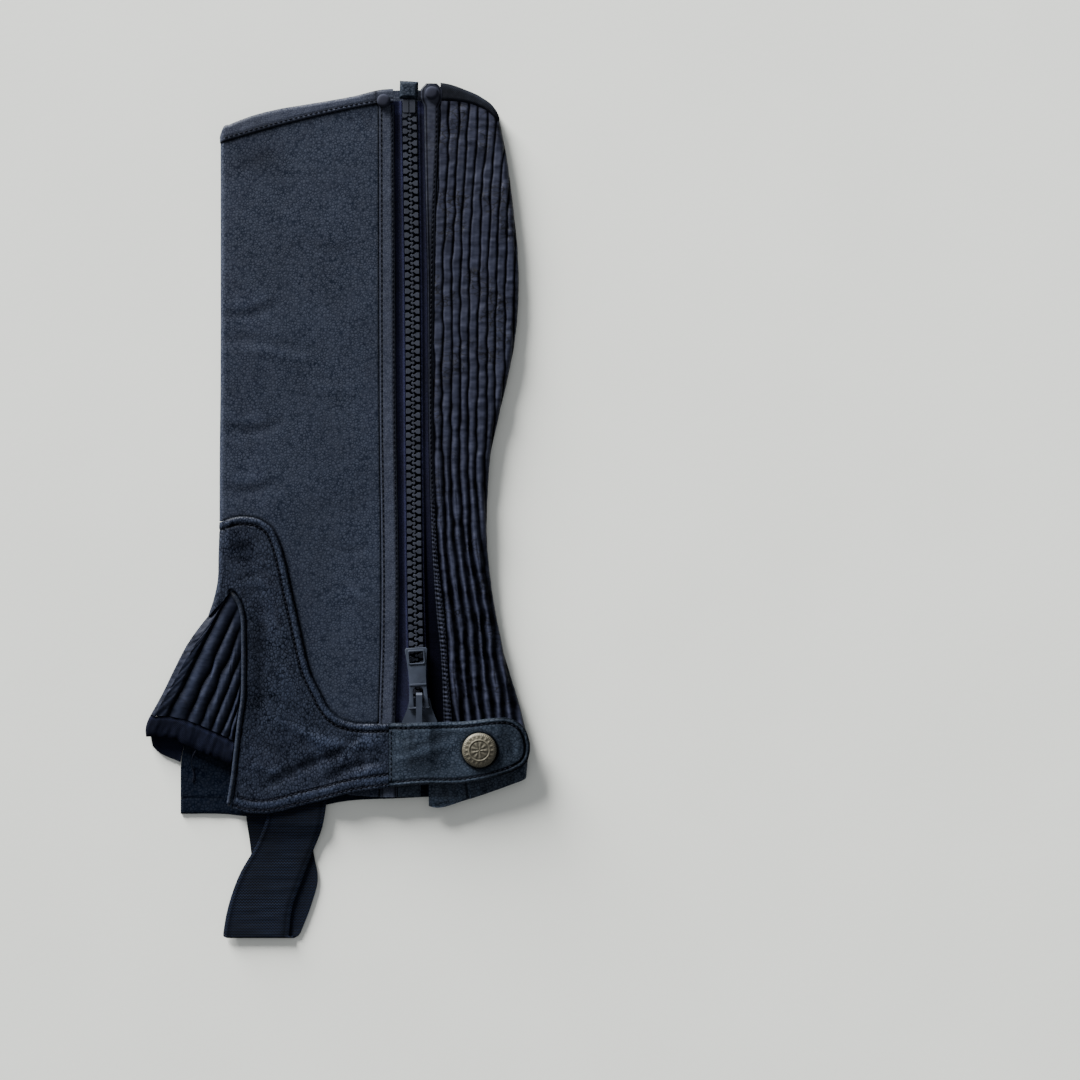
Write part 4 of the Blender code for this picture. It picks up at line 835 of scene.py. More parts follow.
def calf_panel():
    def rib_run(k):
        return lambda y: whole_run(y) - k * smooth(RIB_PITCH, y)

    def back_run(y):
        return -run_for(smooth(CALF_FOLD, y) - smooth(BACK_SEAM, y) - SEAM / 2)

    def lift(x, y, run):
        phase = rib_phase(y, run)
        rib = np.floor(phase)
        fade = (phase < RIB_COUNT) * (phase > 0) * step(QUARTER * 1.1, 0.0, -run)
        crest = rib_shape(phase, smooth(RIB_PITCH, y), y)
        height = RIB_HEIGHT * crest * (1 + 0.18 * noise(y / 26.0, rib, 12))
        pucker = 0.20 * noise(rib * 3.3 + phase, y / 2.6, 13) + 0.14 * noise(rib * 7.7, y / 5.2, 14)
        ends = 0.75 + 0.25 * step(0, 5, smooth(CALF_TOP_LOWER, x) - y)
        upper = (height * ends * (1 - 0.6 * step(-60.0, 120.0, y)) + pucker * crest) * fade
        return upper + np.minimum(-0.14 + 0.08 * noise(x / 9, y / 14, 15), 0.0) * step(0.0, QUARTER, -run)

    def top(x, run):
        return smooth(CALF_TOP_LOWER, x) - SEAM

    def foot(x, run):
        return smooth(CALF_HEM_UPPER, x) + 2 * SEAM

    keys = [rib_run(k) for k in range(RIB_COUNT + 1)] + [back_run]
    outer, inner, x, y, run = folded_panel(keys, [12] * RIB_COUNT + [16], CALF_FOLD, -1, top, foot, 401, lift)
    phase = rib_phase(y, run)
    pitch = smooth(RIB_PITCH, y)
    rib = np.floor(phase)
    ribbed = (phase < RIB_COUNT + 0.3) & (run > -QUARTER)
    # Painted shade in the valleys between the ribs near the top; near the ankle, painted shade but for a painted
    # highlight on each crest.
    off = np.minimum(phase % 1.0, 1 - phase % 1.0) * pitch
    valley = 1.12 * bump(off, 0, 0.62 + 0.16 * noise(y / 6.0, np.round(phase), 18))
    crest = bump((phase % 1.0 - 0.42) * pitch, 0, 1.02 + 0.3 * noise(y / 7.0, rib, 19))
    crest *= 0.95 + 0.14 * noise(y / 5.5, rib * 3.7, 20)
    share = step(-60.0, 130.0, y + 12.0 * noise(rib * 1.7, 0, 23))
    shade_and_tone = valley * share + (0.84 - 0.90 * crest) * (1 - share)
    # Dark uneven flecks along the ribs.
    shade_and_tone += (0.22 + 0.2 * share) * np.maximum(noise(rib * 5.1, y / 2.2, 16), 0)
    shade_and_tone += 0.18 * np.maximum(noise(rib * 2.3, y / 7.0, 17), 0)
    # Painted shade round the calf fold, and a little darker near the top.
    shade_and_tone = shade_and_tone * ribbed + 0.3 * step(QUARTER + 3.0, -QUARTER, run) * share + 0.06 * step(60.0, 160.0, y)
    return shell("ribbed_calf_panel", outer, inner, RIBS, np.clip(shade_and_tone, -0.6, 1.0))


# ---------------------------------------------------------------- bindings and hem


def folded_band(fold, side, start, end, upper, lower, rise, columns):
    """The grids of a narrow band round a long fold, between the x of its two ends. Also its x, y and share from the
    upper edge down, and its width."""
    def place(x, y):
        high, low = smooth(upper, x), smooth(lower, x)
        return np.clip((high - y) / np.maximum(high - low, 0.1), 0, 1), high - low

    def lift(x, y, run):
        return (run > -QUARTER) * rise(x, y, *place(x, y))

    fold_x = max(fold)[1]
    keys = [run_for(side * (start - fold_x)), QUARTER, -QUARTER, -run_for(side * (end - fold_x))]
    outer, inner, x, y, _ = folded_panel(keys, columns, fold, side, lambda x, run: smooth(upper, x),
                                         lambda x, run: smooth(lower, x), 13, lift)
    return outer, inner, x, y, *place(x, y)


def leg_binding():
    def rise(x, y, share, width):
        body = (1 - 0.9 * bump(share * width, 0, 0.8)) * (1 - 0.7 * bump((1 - share) * width, 0, 0.5))
        return BINDING_RISE * body - 0.28 * bump((1 - share) * width, BINDING_STITCH, 0.6) + 0.08 * noise(
            x / 3.0, y / 5.0, 21)

    outer, inner, x, y, share, width = folded_band(SHIN_FOLD, 1, LEG_BINDING_END, BACK_SEAM[0][1], LEG_TOP_UPPER,
                                                   LEG_TOP_LOWER, rise, (88, 10, 40))
    # Painted shade at both edges and in the stitch row, painted highlight between; darker towards both ends and in a
    # band at x 22 by the facing.
    shade_and_tone = bumps((1 - share) * width, (0.75, 0, 0.5), (0.3, BINDING_STITCH, 0.45)) - 0.1
    shade_and_tone += 0.2 * step(-14.0, -48.0, x) + 0.5 * bump(x, 22.0, 1.0) + 0.3 * step(8.0, 20.0, x)
    shade_and_tone += 0.12 * bump(share, 0, 0.1) - 0.1 * step(0.1, 0.35, share)
    shade_and_tone -= 0.16 * step(0.45, 0.7, share) * step(-50.0, -15.0, x)
    return shell("leather_top_binding", outer, inner, FACING, shade_and_tone, (2, 4))


def calf_binding():
    def rise(x, y, share, width):
        body = (1 - 0.9 * bump(share * width, 0, 0.9)) * (1 - 0.8 * bump((1 - share) * width, 0, 0.7))
        return BINDING_RISE * body + 0.1 * noise(x / 2.4, y / 4.0, 22)

    outer, inner, x, y, share, width = folded_band(CALF_FOLD, -1, 59.5, 66.0, CALF_TOP_UPPER, CALF_TOP_LOWER, rise,
                                                   (40, 10, 20))
    # Painted shade along its lower edge, a painted highlight on its upper part, and uneven tone.
    shade_and_tone = 0.25 * bump((1 - share) * width, 0, 0.5) - 0.6 * bump(share, 0.2, 0.2) + 0.25 * noise(x / 2.0, y / 3.0, 25)
    return shell("woven_top_binding", outer, inner, TOP_BOUND, shade_and_tone, (2, 4))


def calf_hem():
    def upper(x, run):
        return np.where(run > 0, smooth(CALF_HEM_UPPER, x), smooth(UNDER_HEM_UPPER, x))

    def lower(x, run):
        return np.where(run > 0, smooth(CALF_HEM_LOWER, x), smooth(UNDER_HEM_LOWER, x))

    def slanted(x, y):
        """X less the lean of the band's seam and wrinkles."""
        return x + 0.18 * (y + 160)

    def lift(x, y, run):
        from_foot = width - np.clip(upper(x, run) - y, 0, width)
        rise = bumps(slanted(x, y), (-0.7, seam_x, 0.6), (0.35, seam_x + 1.4, 0.9)) - 0.5 * bump(from_foot, 0, 0.8)
        return (rise + hills(x, y, (0.12, 5, 6, 31), (0.22, 2.6, 13, 32))) * step(-QUARTER, 0, run)

    seam_x, width, edge, end, under_end = 74.4, 15.0, CALF_HEM_UPPER[-1][0], 53.6, 82.7
    keys = [run_for(edge - end), QUARTER, -QUARTER, -run_for(edge - under_end)]
    outer, inner, x, y, run = folded_panel(keys, [60, 10, 20], CALF_FOLD, -1, upper, lower, 21, lift)
    # Painted shade in the seam and a painted highlight on the ridge beside it; lighter stripes every 5.6 mm; uneven
    # tone.
    shade_and_tone = bumps(slanted(x, y), (0.8, seam_x, 0.7), (-0.6, seam_x + 1.5, 0.6))
    shade_and_tone -= 0.3 * bump(slanted(x, y) % 5.6, 2.8, 1.2)
    return shell("calf_hem_band", outer, inner, STRAP, shade_and_tone + 0.02 + 0.3 * noise(x / 3, y / 9, 33), (2, 4))


# ---------------------------------------------------------------- foot

FOOT_CREASES = [
    (2.4, -0.18, 1, [(-67.3, -26.5), (-53.9, -30.0), (-38.3, -26.5)]),
    (2.4, 0.14, 2, [(-67.3, -21.3), (-53.4, -24.8), (-40.6, -21.3)]),
    (1.8, -0.16, 3, [(-64.4, -43.4), (-47.6, -37.0), (-31.3, -33.5)]),
    (1.8, -0.14, 5, [(-56.8, -47.4), (-40.6, -47.4), (-25.5, -53.2)]),
    (1.8, -0.13, 7, [(-53.9, -52.1), (-38.3, -60.2), (-25.5, -72.9)]),
    (1.8, 0.12, 8, [(-52.2, -57.9), (-38.3, -67.1), (-27.8, -78.2)]),
    (1.8, -0.12, 9, [(-51.0, -75.3), (-36.5, -82.2), (-24.4, -93.8)]),
    (3.4, 0.7, 11, [(-36.5, -121.7), (-20.3, -129.2), (-4.6, -136.2), (12.8, -136.7), (28.4, -133.3)]),
    (2.8, -0.7, 12, [(-45.2, -162.3), (-20.9, -148.9), (1.2, -140.2), (15.7, -128.6)]),
    (2.4, -0.55, 13, [(-13.3, -160.5), (8.1, -148.9), (27.3, -144.9)]),
    (3, 0.45, 14, [(8.1, -155.9), (18.6, -151.8), (28.4, -150.7)]),
    (4, 0.4, 15, [(11.6, -130.4), (19.7, -132.7)]),
    (3, 0.35, 16, [(1.2, -146.0), (9.3, -142.0)]),
    (2.4, -0.25, 17, [(-51.0, -110.1), (-36.5, -110.1), (-22.0, -117.0)]),
    (2.4, -0.22, 18, [(-52.2, -133.3), (-39.4, -137.9), (-27.8, -146.0)]),
    (2.2, 0.3, 19, [(-51.0, -147.8), (-38.3, -151.8), (-29.0, -155.3)]),
]

HEM_LINE = path(FOOT_HEM, evenly(40))
CORD_YS = np.linspace(PIPING[0][0], PIPING[-1][0], 60)
CORD_LINE = stack(smooth(PIPING, CORD_YS), CORD_YS)
LAP_LINE = path([row for row in LEG_LAP if row[0] > -66.0], evenly(160))


def lap_rise(x, y):
    """How far the foot panel is lifted by the leg panel and the zip's facing under it."""
    distance = np.where(y > straight(LEG_LAP, x), 0.0, nearest(x, y, LAP_LINE)[0])
    over_facing = (FACING_LEVELS[1] - TOP_OUTSIDE) * step(15.0, 22.0, x)
    return (LAP_RISE * step(LAP_FADE, 4.0, distance) + over_facing) * step(-66.5, -62.8, x)


def foot_detail(x, y):
    """The foot panel's relief and its painted shade and highlights: turned edges, stitch rows, puckers along the cord,
    creases.
    """
    row, (first, second) = ARCH_STITCH, HEM_STITCHES
    from_arch, from_hem = nearest(x, y, ARCH_LINE)[0], nearest(x, y, HEM_LINE)[0]
    from_cord, along = nearest(x, y, CORD_LINE)
    folds = creased(x, y, FOOT_CREASES)
    relief = bumps(from_arch, (0.30, 2.1, 1.5), (-0.38, row, 0.75), (-0.55, 0, 0.5))
    relief += bumps(from_hem, (-0.25, first, 0.5), (-0.3, second, 0.6), (0.22, 4.8, 1.8), (-0.45, 0, 0.5))
    # Painted shade in stitch rows, under turned edges, beside the cord and in creases; painted highlights on ridges,
    # puckers and hills.
    dark = bumps(from_arch, (0.95, row, 0.8), (-0.38, 2.2, 1.3), (0.6, 0, 0.5))
    dark += bumps(from_hem, (0.6, first, 0.6), (0.8, second, 0.8), (-0.4, 4.8, 1.8), (-0.6, 0.5, 0.5))
    slant = bump(from_cord, 0, 9.0) * step(-175.0, -160.0, y) * noise((along + 0.55 * from_cord) / 1.55,
                                                                     from_cord / 9.0, 41)
    relief += 0.12 * slant - 0.35 * bump(from_cord, 1.5, 0.8)
    dark += 0.8 * bump(from_cord, 1.5, 0.9) - 0.28 * slant
    soft = hills(x, y, (0.16, 17, 14, 42), (0.05, 6, 6, 43))
    relief += (folds + soft) * (0.35 + 0.65 * step(3.0, 12.0, np.minimum(from_arch, from_hem)))
    beside_cord = bump(from_cord, 9.0, 4.2) * step(-140.0, -118.0, y) * step(-52.0, -66.0, y)
    relief -= 0.35 * beside_cord
    dark += 0.42 * beside_cord - 0.7 * np.clip(folds, -0.7, 0.7) - 0.35 * soft
    return relief, dark


def foot_height(x, y):
    return TOP_OUTSIDE + lap_rise(x, y) + foot_detail(x, y)[0]


def piping_side(y, side):
    slope = smooth(PIPING, y + 0.5) - smooth(PIPING, y - 0.5)
    return np.stack([smooth(PIPING, y) + side * PIPING_REACH * np.sqrt(1 + slope * slope), y], -1)


def tail_seam_y(distance):
    """The tail's seam along the gusset, this far in from the shin fold."""
    ys = np.linspace(TAIL[1], APEX[1], 60)
    return np.interp(distance, np.linspace(TAIL[0], APEX[0], 60) - smooth(SHIN_FOLD, ys), ys)


ARCH_SHARES = [0.0, 0.02, 0.05, 0.08, 0.12, 0.16, 0.2, 0.24, 0.28, 0.32, 0.36, 0.41, 0.46, 0.51, 0.56, 0.6, 0.64,
               0.68, 0.72, 0.76, 0.8, 0.84, 0.88, 0.91, 0.94, 0.97, 1.0]
TAIL_POINTS = [(-68.0, -54.2), (-65.6, -51.4), (-63.2, -48.2), (-59.6, -46.4)]
FRONT_YS = np.array([-51.5, -58, -66, -75, -85, -96, -107, -119, -131, -144, -157], float)


def foot_panel():
    """The overlay: columns that turn round the shin fold, and then ones from the arch to the cord and the hem."""
    shares = evenly(161)
    outer, inner, shade = [], [], []
    for run in list(np.linspace(-QUARTER - 5.0, -QUARTER, 5)[:-1]) + list(np.linspace(-QUARTER, QUARTER, 16)):
        distance, _ = fold_place(run, FOLD_RADIUS)
        start, end = 0.0, tail_seam_y(distance) - 1.4
        for _ in range(12):
            start = smooth(ARCH, smooth(SHIN_FOLD, start) + distance)
        y = between(start, end, shares)
        rise = bumps(start - y, (0.25, 2.1, 1.5), (-0.3, ARCH_STITCH, 0.8))
        rise += creased(smooth(SHIN_FOLD, y) + distance, y, FOOT_CREASES) * 0.7
        for grid, depth, lift in ((outer, 0.0, rise * step(-QUARTER, 0, run)), (inner, LEATHER, 0.0)):
            across, z = fold_place(run, FOLD_RADIUS, depth, lift)
            grid.append(stack(smooth(SHIN_FOLD, y) + across, y, z))
        # Painted shade in the arch's stitch row and a painted highlight on the ridge above it, round the fold.
        shade.append(bumps(start - y, (0.7, ARCH_STITCH, 0.7), (-0.24, 2.0, 1.3)))
    index = np.arange(len(ARCH_SHARES))
    fine = np.linspace(0, index[-1], index[-1] * 6 + 1)
    arch = path(ARCH_POINTS, 0.018 + 0.982 * np.interp(fine, index, ARCH_SHARES))
    first, last = len(TAIL_POINTS), len(TAIL_POINTS) + len(FRONT_YS) - 1
    hem_count = len(ARCH_SHARES) - last - 1
    hem = path(FOOT_HEM, evenly(hem_count))
    coarse = np.concatenate([TAIL_POINTS, piping_side(FRONT_YS, 1), hem])
    opposite = np.stack([np.interp(fine, index, axis) for axis in coarse.T], 1)
    on_front, on_hem = (fine >= first) & (fine <= last), fine >= last + 1
    opposite[on_front] = piping_side(np.interp(fine[on_front], np.arange(first, last + 1), FRONT_YS), 1)
    opposite[on_hem] = path(FOOT_HEM, (fine[on_hem] - last - 1) / (hem_count - 1))
    x, y = (between(a[:, None], b[:, None], shares) for a, b in zip(arch.T, opposite.T))
    relief, dark = foot_detail(x, y)
    plain = TOP_OUTSIDE + lap_rise(x, y)
    extra = (len(outer) + len(x) - 1) % 4
    outer = np.concatenate([outer, stack(x, y, plain + relief)])[extra:]
    inner = np.concatenate([inner, stack(x, y, plain - LEATHER)])[extra:]
    return shell("foot_overlay", outer, inner, FOOT, np.concatenate([shade, dark])[extra:])


def inner_foot_panel():
    """The same overlay on the underside, with its front corner showing past the upper one."""
    front_x, corner_y, back_x = INNER_FRONT[-1][0], -150.0, INNER_FRONT[0][0]
    xs = np.concatenate([np.linspace(front_x, back_x, 49), np.linspace(back_x + 1.0, INNER_HEM[-1][0], 76)])
    front = straight([(front_x, corner_y)] + [row for row in INNER_FRONT if row[1] > corner_y], xs)
    arch = np.where(xs > ARCH_COLUMNS[-1], ARCH[-1][1], under_arch(xs))
    upper = np.where(xs <= back_x, front, arch)[:, None]
    lower = smooth(INNER_HEM, xs)[:, None]
    x, y = xs[:, None], between(upper, lower, evenly(81))
    relief = -0.4 * bump(np.minimum(x - front_x, y - lower), 0, 0.6) - 0.22 * bump(y - lower, 9.3, 0.6)
    relief = (relief + 0.12 * noise(x / 8, y / 8, 51)) * (x < -50)
    # Painted shade in the stitch row's dent near the hem.
    return shell("inner_foot_overlay", stack(x, y, LEATHER + relief), 0.02, UNDERFOOT, 0.4 * bump(y - lower, 9.3, 0.6))


def piping():
    """The cord, whose upper end runs in under the foot panel, painted dark there as shade."""
    top, hidden = PIPING[0][0], 2.8
    ys = np.linspace(top + hidden, PIPING[-1][0], 204)
    x = smooth(PIPING, np.minimum(ys, top)) - 0.7 * np.maximum(ys - top, 0.0)
    z = PIPING_LEVEL - 2.2 * step(top - 2.7, top + 1.8, ys)
    ends = 0.3 + 0.7 * step(0.0, 2.2, ys[0] - ys) * step(0.0, 1.8, ys - ys[-1])
    radius = PIPING_RADIUS * (1.12 + 0.05 * noise(ys / 1.6, 0, 61)) * ends
    return tube("foot_cord", stack(x, ys, z), radius, CORD, 16, 0.9 * step(top - 3.6, top - 0.6, ys))


# ---------------------------------------------------------------- gusset


def gusset_fold(rows):
    """Points along the gusset's fold, and the way in from it at each."""
    fold = path(GUSSET_FOLD, evenly(rows))
    along = np.gradient(fold, axis=0)
    return fold, np.stack([-along[:, 1], along[:, 0]], 1) / np.linalg.norm(along, axis=1)[:, None]


def inner_front_x(y):
    return smooth([(row[1], row[0]) for row in INNER_FRONT], y)


def add_flat(grids, flat, *levels):
    """Adds a row of (x, y) points to an outer and an inner grid, each at its own level."""
    for grid, level in zip(grids, levels):
        grid.append(stack(flat[:, 0], flat[:, 1], level))


def add_turn(grids, fold, inward, run, rise=0.0):
    """Adds a row of points at this run round the gusset's fold to an outer and an inner grid."""
    for grid, depth in zip(grids, (0.0, GUSSET_WALL)):
        distance, z = fold_place(run, GUSSET_RADIUS, depth, rise * (depth == 0))
        flat = fold + inward * np.reshape(distance, (-1, 1))
        grid.append(stack(flat[:, 0], flat[:, 1], z))


def gusset():
    rows, ribs, across = 81, len(GUSSET_RIB_TOPS) + 1, 12
    shares = np.linspace(-0.13, 1, rows)
    fold, inward = gusset_fold(rows)
    first = (fold[0] - fold[2]) / np.linalg.norm(fold[0] - fold[2])
    fold = fold + first * (7.5 * (1 - evenly(rows)[:, None]) ** 8)
    ends, ways = gusset_fold(9)
    tops = [ends[0] + ways[0] * GUSSET_RADIUS, np.array(APEX)]
    tops += [piping_side(np.array(y), -1) for y in GUSSET_RIB_TOPS]
    bottoms = [ends[-1] + ways[-1] * GUSSET_RADIUS] + [np.array(p) for p in GUSSET_EDGE[1:]]
    grids, shade = ([], []), [np.zeros(rows)] * 8
    ys = np.linspace(-50.0, UNDER_GUSSET_END, rows)
    near, far = fold + inward * GUSSET_RADIUS, stack(inner_front_x(ys) - SEAM, ys)
    for share in np.linspace(1.0, 0.0, 9)[:-1]:
        add_flat(grids, between(near, far, share), 0.0, GUSSET_WALL)
    for run in np.linspace(-GUSSET_QUARTER, GUSSET_QUARTER, 9)[:-1]:
        add_turn(grids, fold, inward, run)
        # Painted shade round the fold.
        shade.append(0.5 + 0.25 * noise(shares * 40.0, run * 0.4, 73))
    for k in range(ribs * across + 1):
        rib = min(k // across, ribs - 1)
        part = k / across - rib
        top, bottom = (between(line[rib], line[rib + 1], part) for line in (tops, bottoms))
        length = np.linalg.norm(bottom - top)
        bow = 0.36 * np.sin(math.pi * shares) * math.sin(math.pi * part) * (1 if rib % 2 else -1)
        sway = 1.15 * noise(shares * length / 10.0, round(k / across) * 3.7, 74) * abs(math.cos(math.pi * part))
        sway *= step(0.05, 0.3, shares) * step(1.0, 0.9, shares) * (0 < k < ribs * across)
        flat = between(top, bottom, shares[:, None]) + stack(bow + sway, 0.0)
        crest = math.sin(math.pi * part) ** 0.8 if rib else 0.8 * float(step(1.0, 0.72, part))
        pucker = 0.22 * noise(shares * length / 2.6, rib * 4.7 + 0.6 * part, 71) * crest
        height = GUSSET_RIB_HEIGHT * crest * step(-0.05, 0.2, shares) * (1 - 0.5 * step(0.85, 1.0, shares))
        height += pucker * step(0, 0.15, shares) - 0.5 * step(0.0, -0.045, shares)
        add_flat(grids, flat, GUSSET_LEVEL + height, GUSSET_LEVEL - GUSSET_WALL)
        # Painted shade in the valleys, painted highlights on each rib's lit side and on pucker tops; the outer band
        # lighter with uneven tone.
        valley = bump(part, 1.0, 0.19) + (bump(part, 0.0, 0.15) if rib else 0.0)
        lit = bump(part, 0.36, 0.2) if rib else 0.3 * bump(part, 0.5, 0.3)
        tone = 0.38 + 0.54 * valley - 0.42 * lit * (1 + 0.3 * noise(shares * length / 5.0, rib, 72)) - 0.5 * pucker
        shade.append(tone if rib else tone + 0.06 + 0.26 * noise(shares * 40.0, part * 1.2, 73))
    return shell("ribbed_gusset", *grids, GUSSET, np.clip(shade, -0.9, 1))


def gusset_binding():
    shares = evenly(17)
    line, ways = gusset_fold(9)
    fold = path(GUSSET_BINDING_FOLD, shares)
    inward = ways[-1] * (1 - shares[:, None]) + np.array((1.0, 0.1)) * shares[:, None]
    clear = np.array((-0.15, -2 * SEAM))
    top_near = line[-1] + ways[-1] * GUSSET_RADIUS + clear
    bottom_near = tuple(fold[-1] + inward[-1] * GUSSET_RADIUS)
    under_far = np.array((inner_front_x(UNDER_GUSSET_END) - 2 * SEAM, UNDER_GUSSET_END)) + clear
    upper_line = [tuple(top_near)] + [(x, y - 2 * SEAM) for x, y in GUSSET_EDGE[1:]]
    grids = [], []
    for share in np.linspace(1.0, 0.0, 9)[:-1]:
        lower = path([bottom_near] + UNDER_BINDING_LOWER[1:], share)
        add_flat(grids, between(between(top_near, under_far, share), lower, shares[:, None]), 0.0, GUSSET_WALL)
    body = GUSSET_BINDING_RISE * np.sin(math.pi * np.clip(shares, 0.04, 0.96)) ** 0.5
    for run in np.linspace(-GUSSET_QUARTER, GUSSET_QUARTER, 11):
        add_turn(grids, fold, inward, run, body * step(-GUSSET_QUARTER, 0, run))
    for share in np.linspace(0.0, 1.0, 47)[1:]:
        upper, lower = path(upper_line, share), path([bottom_near] + GUSSET_BINDING_LOWER[1:], share)
        wave = 0.30 * noise(share * 26 + shares * 1.4, shares * 1.6, 81) + 0.14 * noise(share * 60, shares * 5, 82)
        add_flat(grids, between(upper, lower, shares[:, None]), GUSSET_LEVEL + body + wave, GUSSET_LEVEL - GUSSET_WALL)
    # Painted shade along its upper edge and its turned-under lower edge, a painted highlight just below the upper edge;
    # uneven tone.
    shade_and_tone = bumps(shares, (0.45, 0.0, 0.07), (-0.5, 0.12, 0.05)) + 0.15 + 0.5 * step(0.75, 1.0, shares)
    shade_and_tone = shade_and_tone - 0.5 * noise(np.arange(len(grids[0]))[:, None] / 1.7 + shares * 1.4, shares * 1.6, 83)
    return shell("gusset_edge_tape", *grids, BOUND, shade_and_tone)


# ---------------------------------------------------------------- strap and stirrup


def strap_height(x, y):
    """The height of the strap's underside: it arches over the zip's slider, most of all at its upper edge."""
    high, low = straight(STRAP_HEIGHTS, x), straight(STRAP_BASE_HEIGHTS, x)
    falling = sum(straight(STRAP_HEIGHTS, x + d) for d in (-1.5, 0.0, 1.5)) / 3
    foot, crown = STRAP_HEIGHTS[0][1], STRAP_HEIGHTS[3][1]
    soft_high = np.where(x < 48.0, foot + (crown - foot) * step(32.5, 43.0, x), falling)
    return low + (np.maximum(soft_high, high) - low) * step(CROWN_SHADOW[1], CROWN_SHADOW[0], y)


STRAP_TOP_LINE = path(STRAP_UPPER, evenly(70))
STRAP_LOW_LINE = path(STRAP_LOWER, evenly(70))
STRAP_EDGE = np.concatenate([STRAP_TOP_LINE, STRAP_LOW_LINE[::-1]])
STRAP_CREASES = [
    (2.8, 0.34, 1, [(30.2, -146.0), (41.2, -143.1), (51.6, -140.2), (62.6, -136.7), (70.8, -133.3)]),
    (2.4, -0.22, 2, [(31.3, -141.4), (42.9, -137.9), (54.5, -133.8), (66.1, -129.2)]),
    (2, -0.24, 3, [(31.3, -130.4), (38.9, -132.7), (46.4, -130.9)]),
    (2, 0.2, 4, [(56.8, -129.2), (66.1, -127.5), (75.4, -128.0)]),
    (1.6, -0.3, 5, [(96.9, -129.2), (99.8, -136.2), (99.2, -143.7)]),
    (1.4, -0.3, 6, [(94.0, -130.4), (96.3, -137.9), (95.7, -146.0)]),
    (1.4, 0.3, 7, [(102.1, -132.1), (104.4, -137.9), (103.8, -143.1)]),
]


def strap_detail(x, y):
    """The strap's relief and its painted shade and highlights."""
    from_edge = nearest(x, y, STRAP_EDGE)[0]
    from_snap = np.hypot(x - SNAP_CENTRE[0], y - SNAP_CENTRE[1])
    folds = creased(x, y, STRAP_CREASES)
    relief = bumps(from_edge, (-0.6, 0, 0.7), (0.12, 1.4, 0.8), (-0.38, STRAP_STITCH, 0.65))
    relief -= 0.12 * bump(from_snap, 11.0, 1.5)
    # Painted shade along its edges and stitch rows, at its left seam, round the snap, in creases and on the slope over
    # the slider that faces the light; painted highlights on its hills; darker tone towards its tip.
    dark = bumps(from_edge, (0.9, STRAP_STITCH, 0.7), (-0.1, 1.2, 0.8), (0.55, 0, 0.9))
    dark += 0.3 * bump(x, 30.0, 1.0) + 0.42 * bump(x, 37.9, 4.2) * step(CROWN_SHADOW[1], CROWN_SHADOW[0], y)
    dark += 0.85 * bump(from_snap, 10.3, 1.2) + 0.42 * step(84.0, 97.0, x)
    rows = 0.05 * np.sin((x * 0.94 + 0.5 * noise(x / 5, y / 5, 93)) * 2 * math.pi / 1.7) * step(86, 94, x)
    soft = 0.12 * noise(x / 12, y / 8, 91) + 0.16 * noise(x / 2.2, y / 9, 92) * step(86, 96, x) + rows
    return relief + folds + soft, dark - 0.5 * np.clip(folds, -0.6, 0.6) - 0.35 * soft


def strap_top(x, y):
    return strap_height(x, y) + STRAP_WALL + strap_detail(x, y)[0]


def strap():
    start, bend, tip = STRAP_UPPER[0][0], 106.0, 111.4
    xs = np.concatenate([np.linspace(start, bend, 101), np.linspace(bend, tip, 21)[1:]])
    high, low = smooth(STRAP_UPPER, xs)[:, None], smooth(STRAP_LOWER, xs)[:, None]
    y = between(high, low, evenly(57))
    x = xs[:, None] + 0 * y
    outer = stack(x, y, strap_top(x, y))
    return shell("closing_strap", outer, strap_height(x, y), STRAP, strap_detail(x, y)[1])


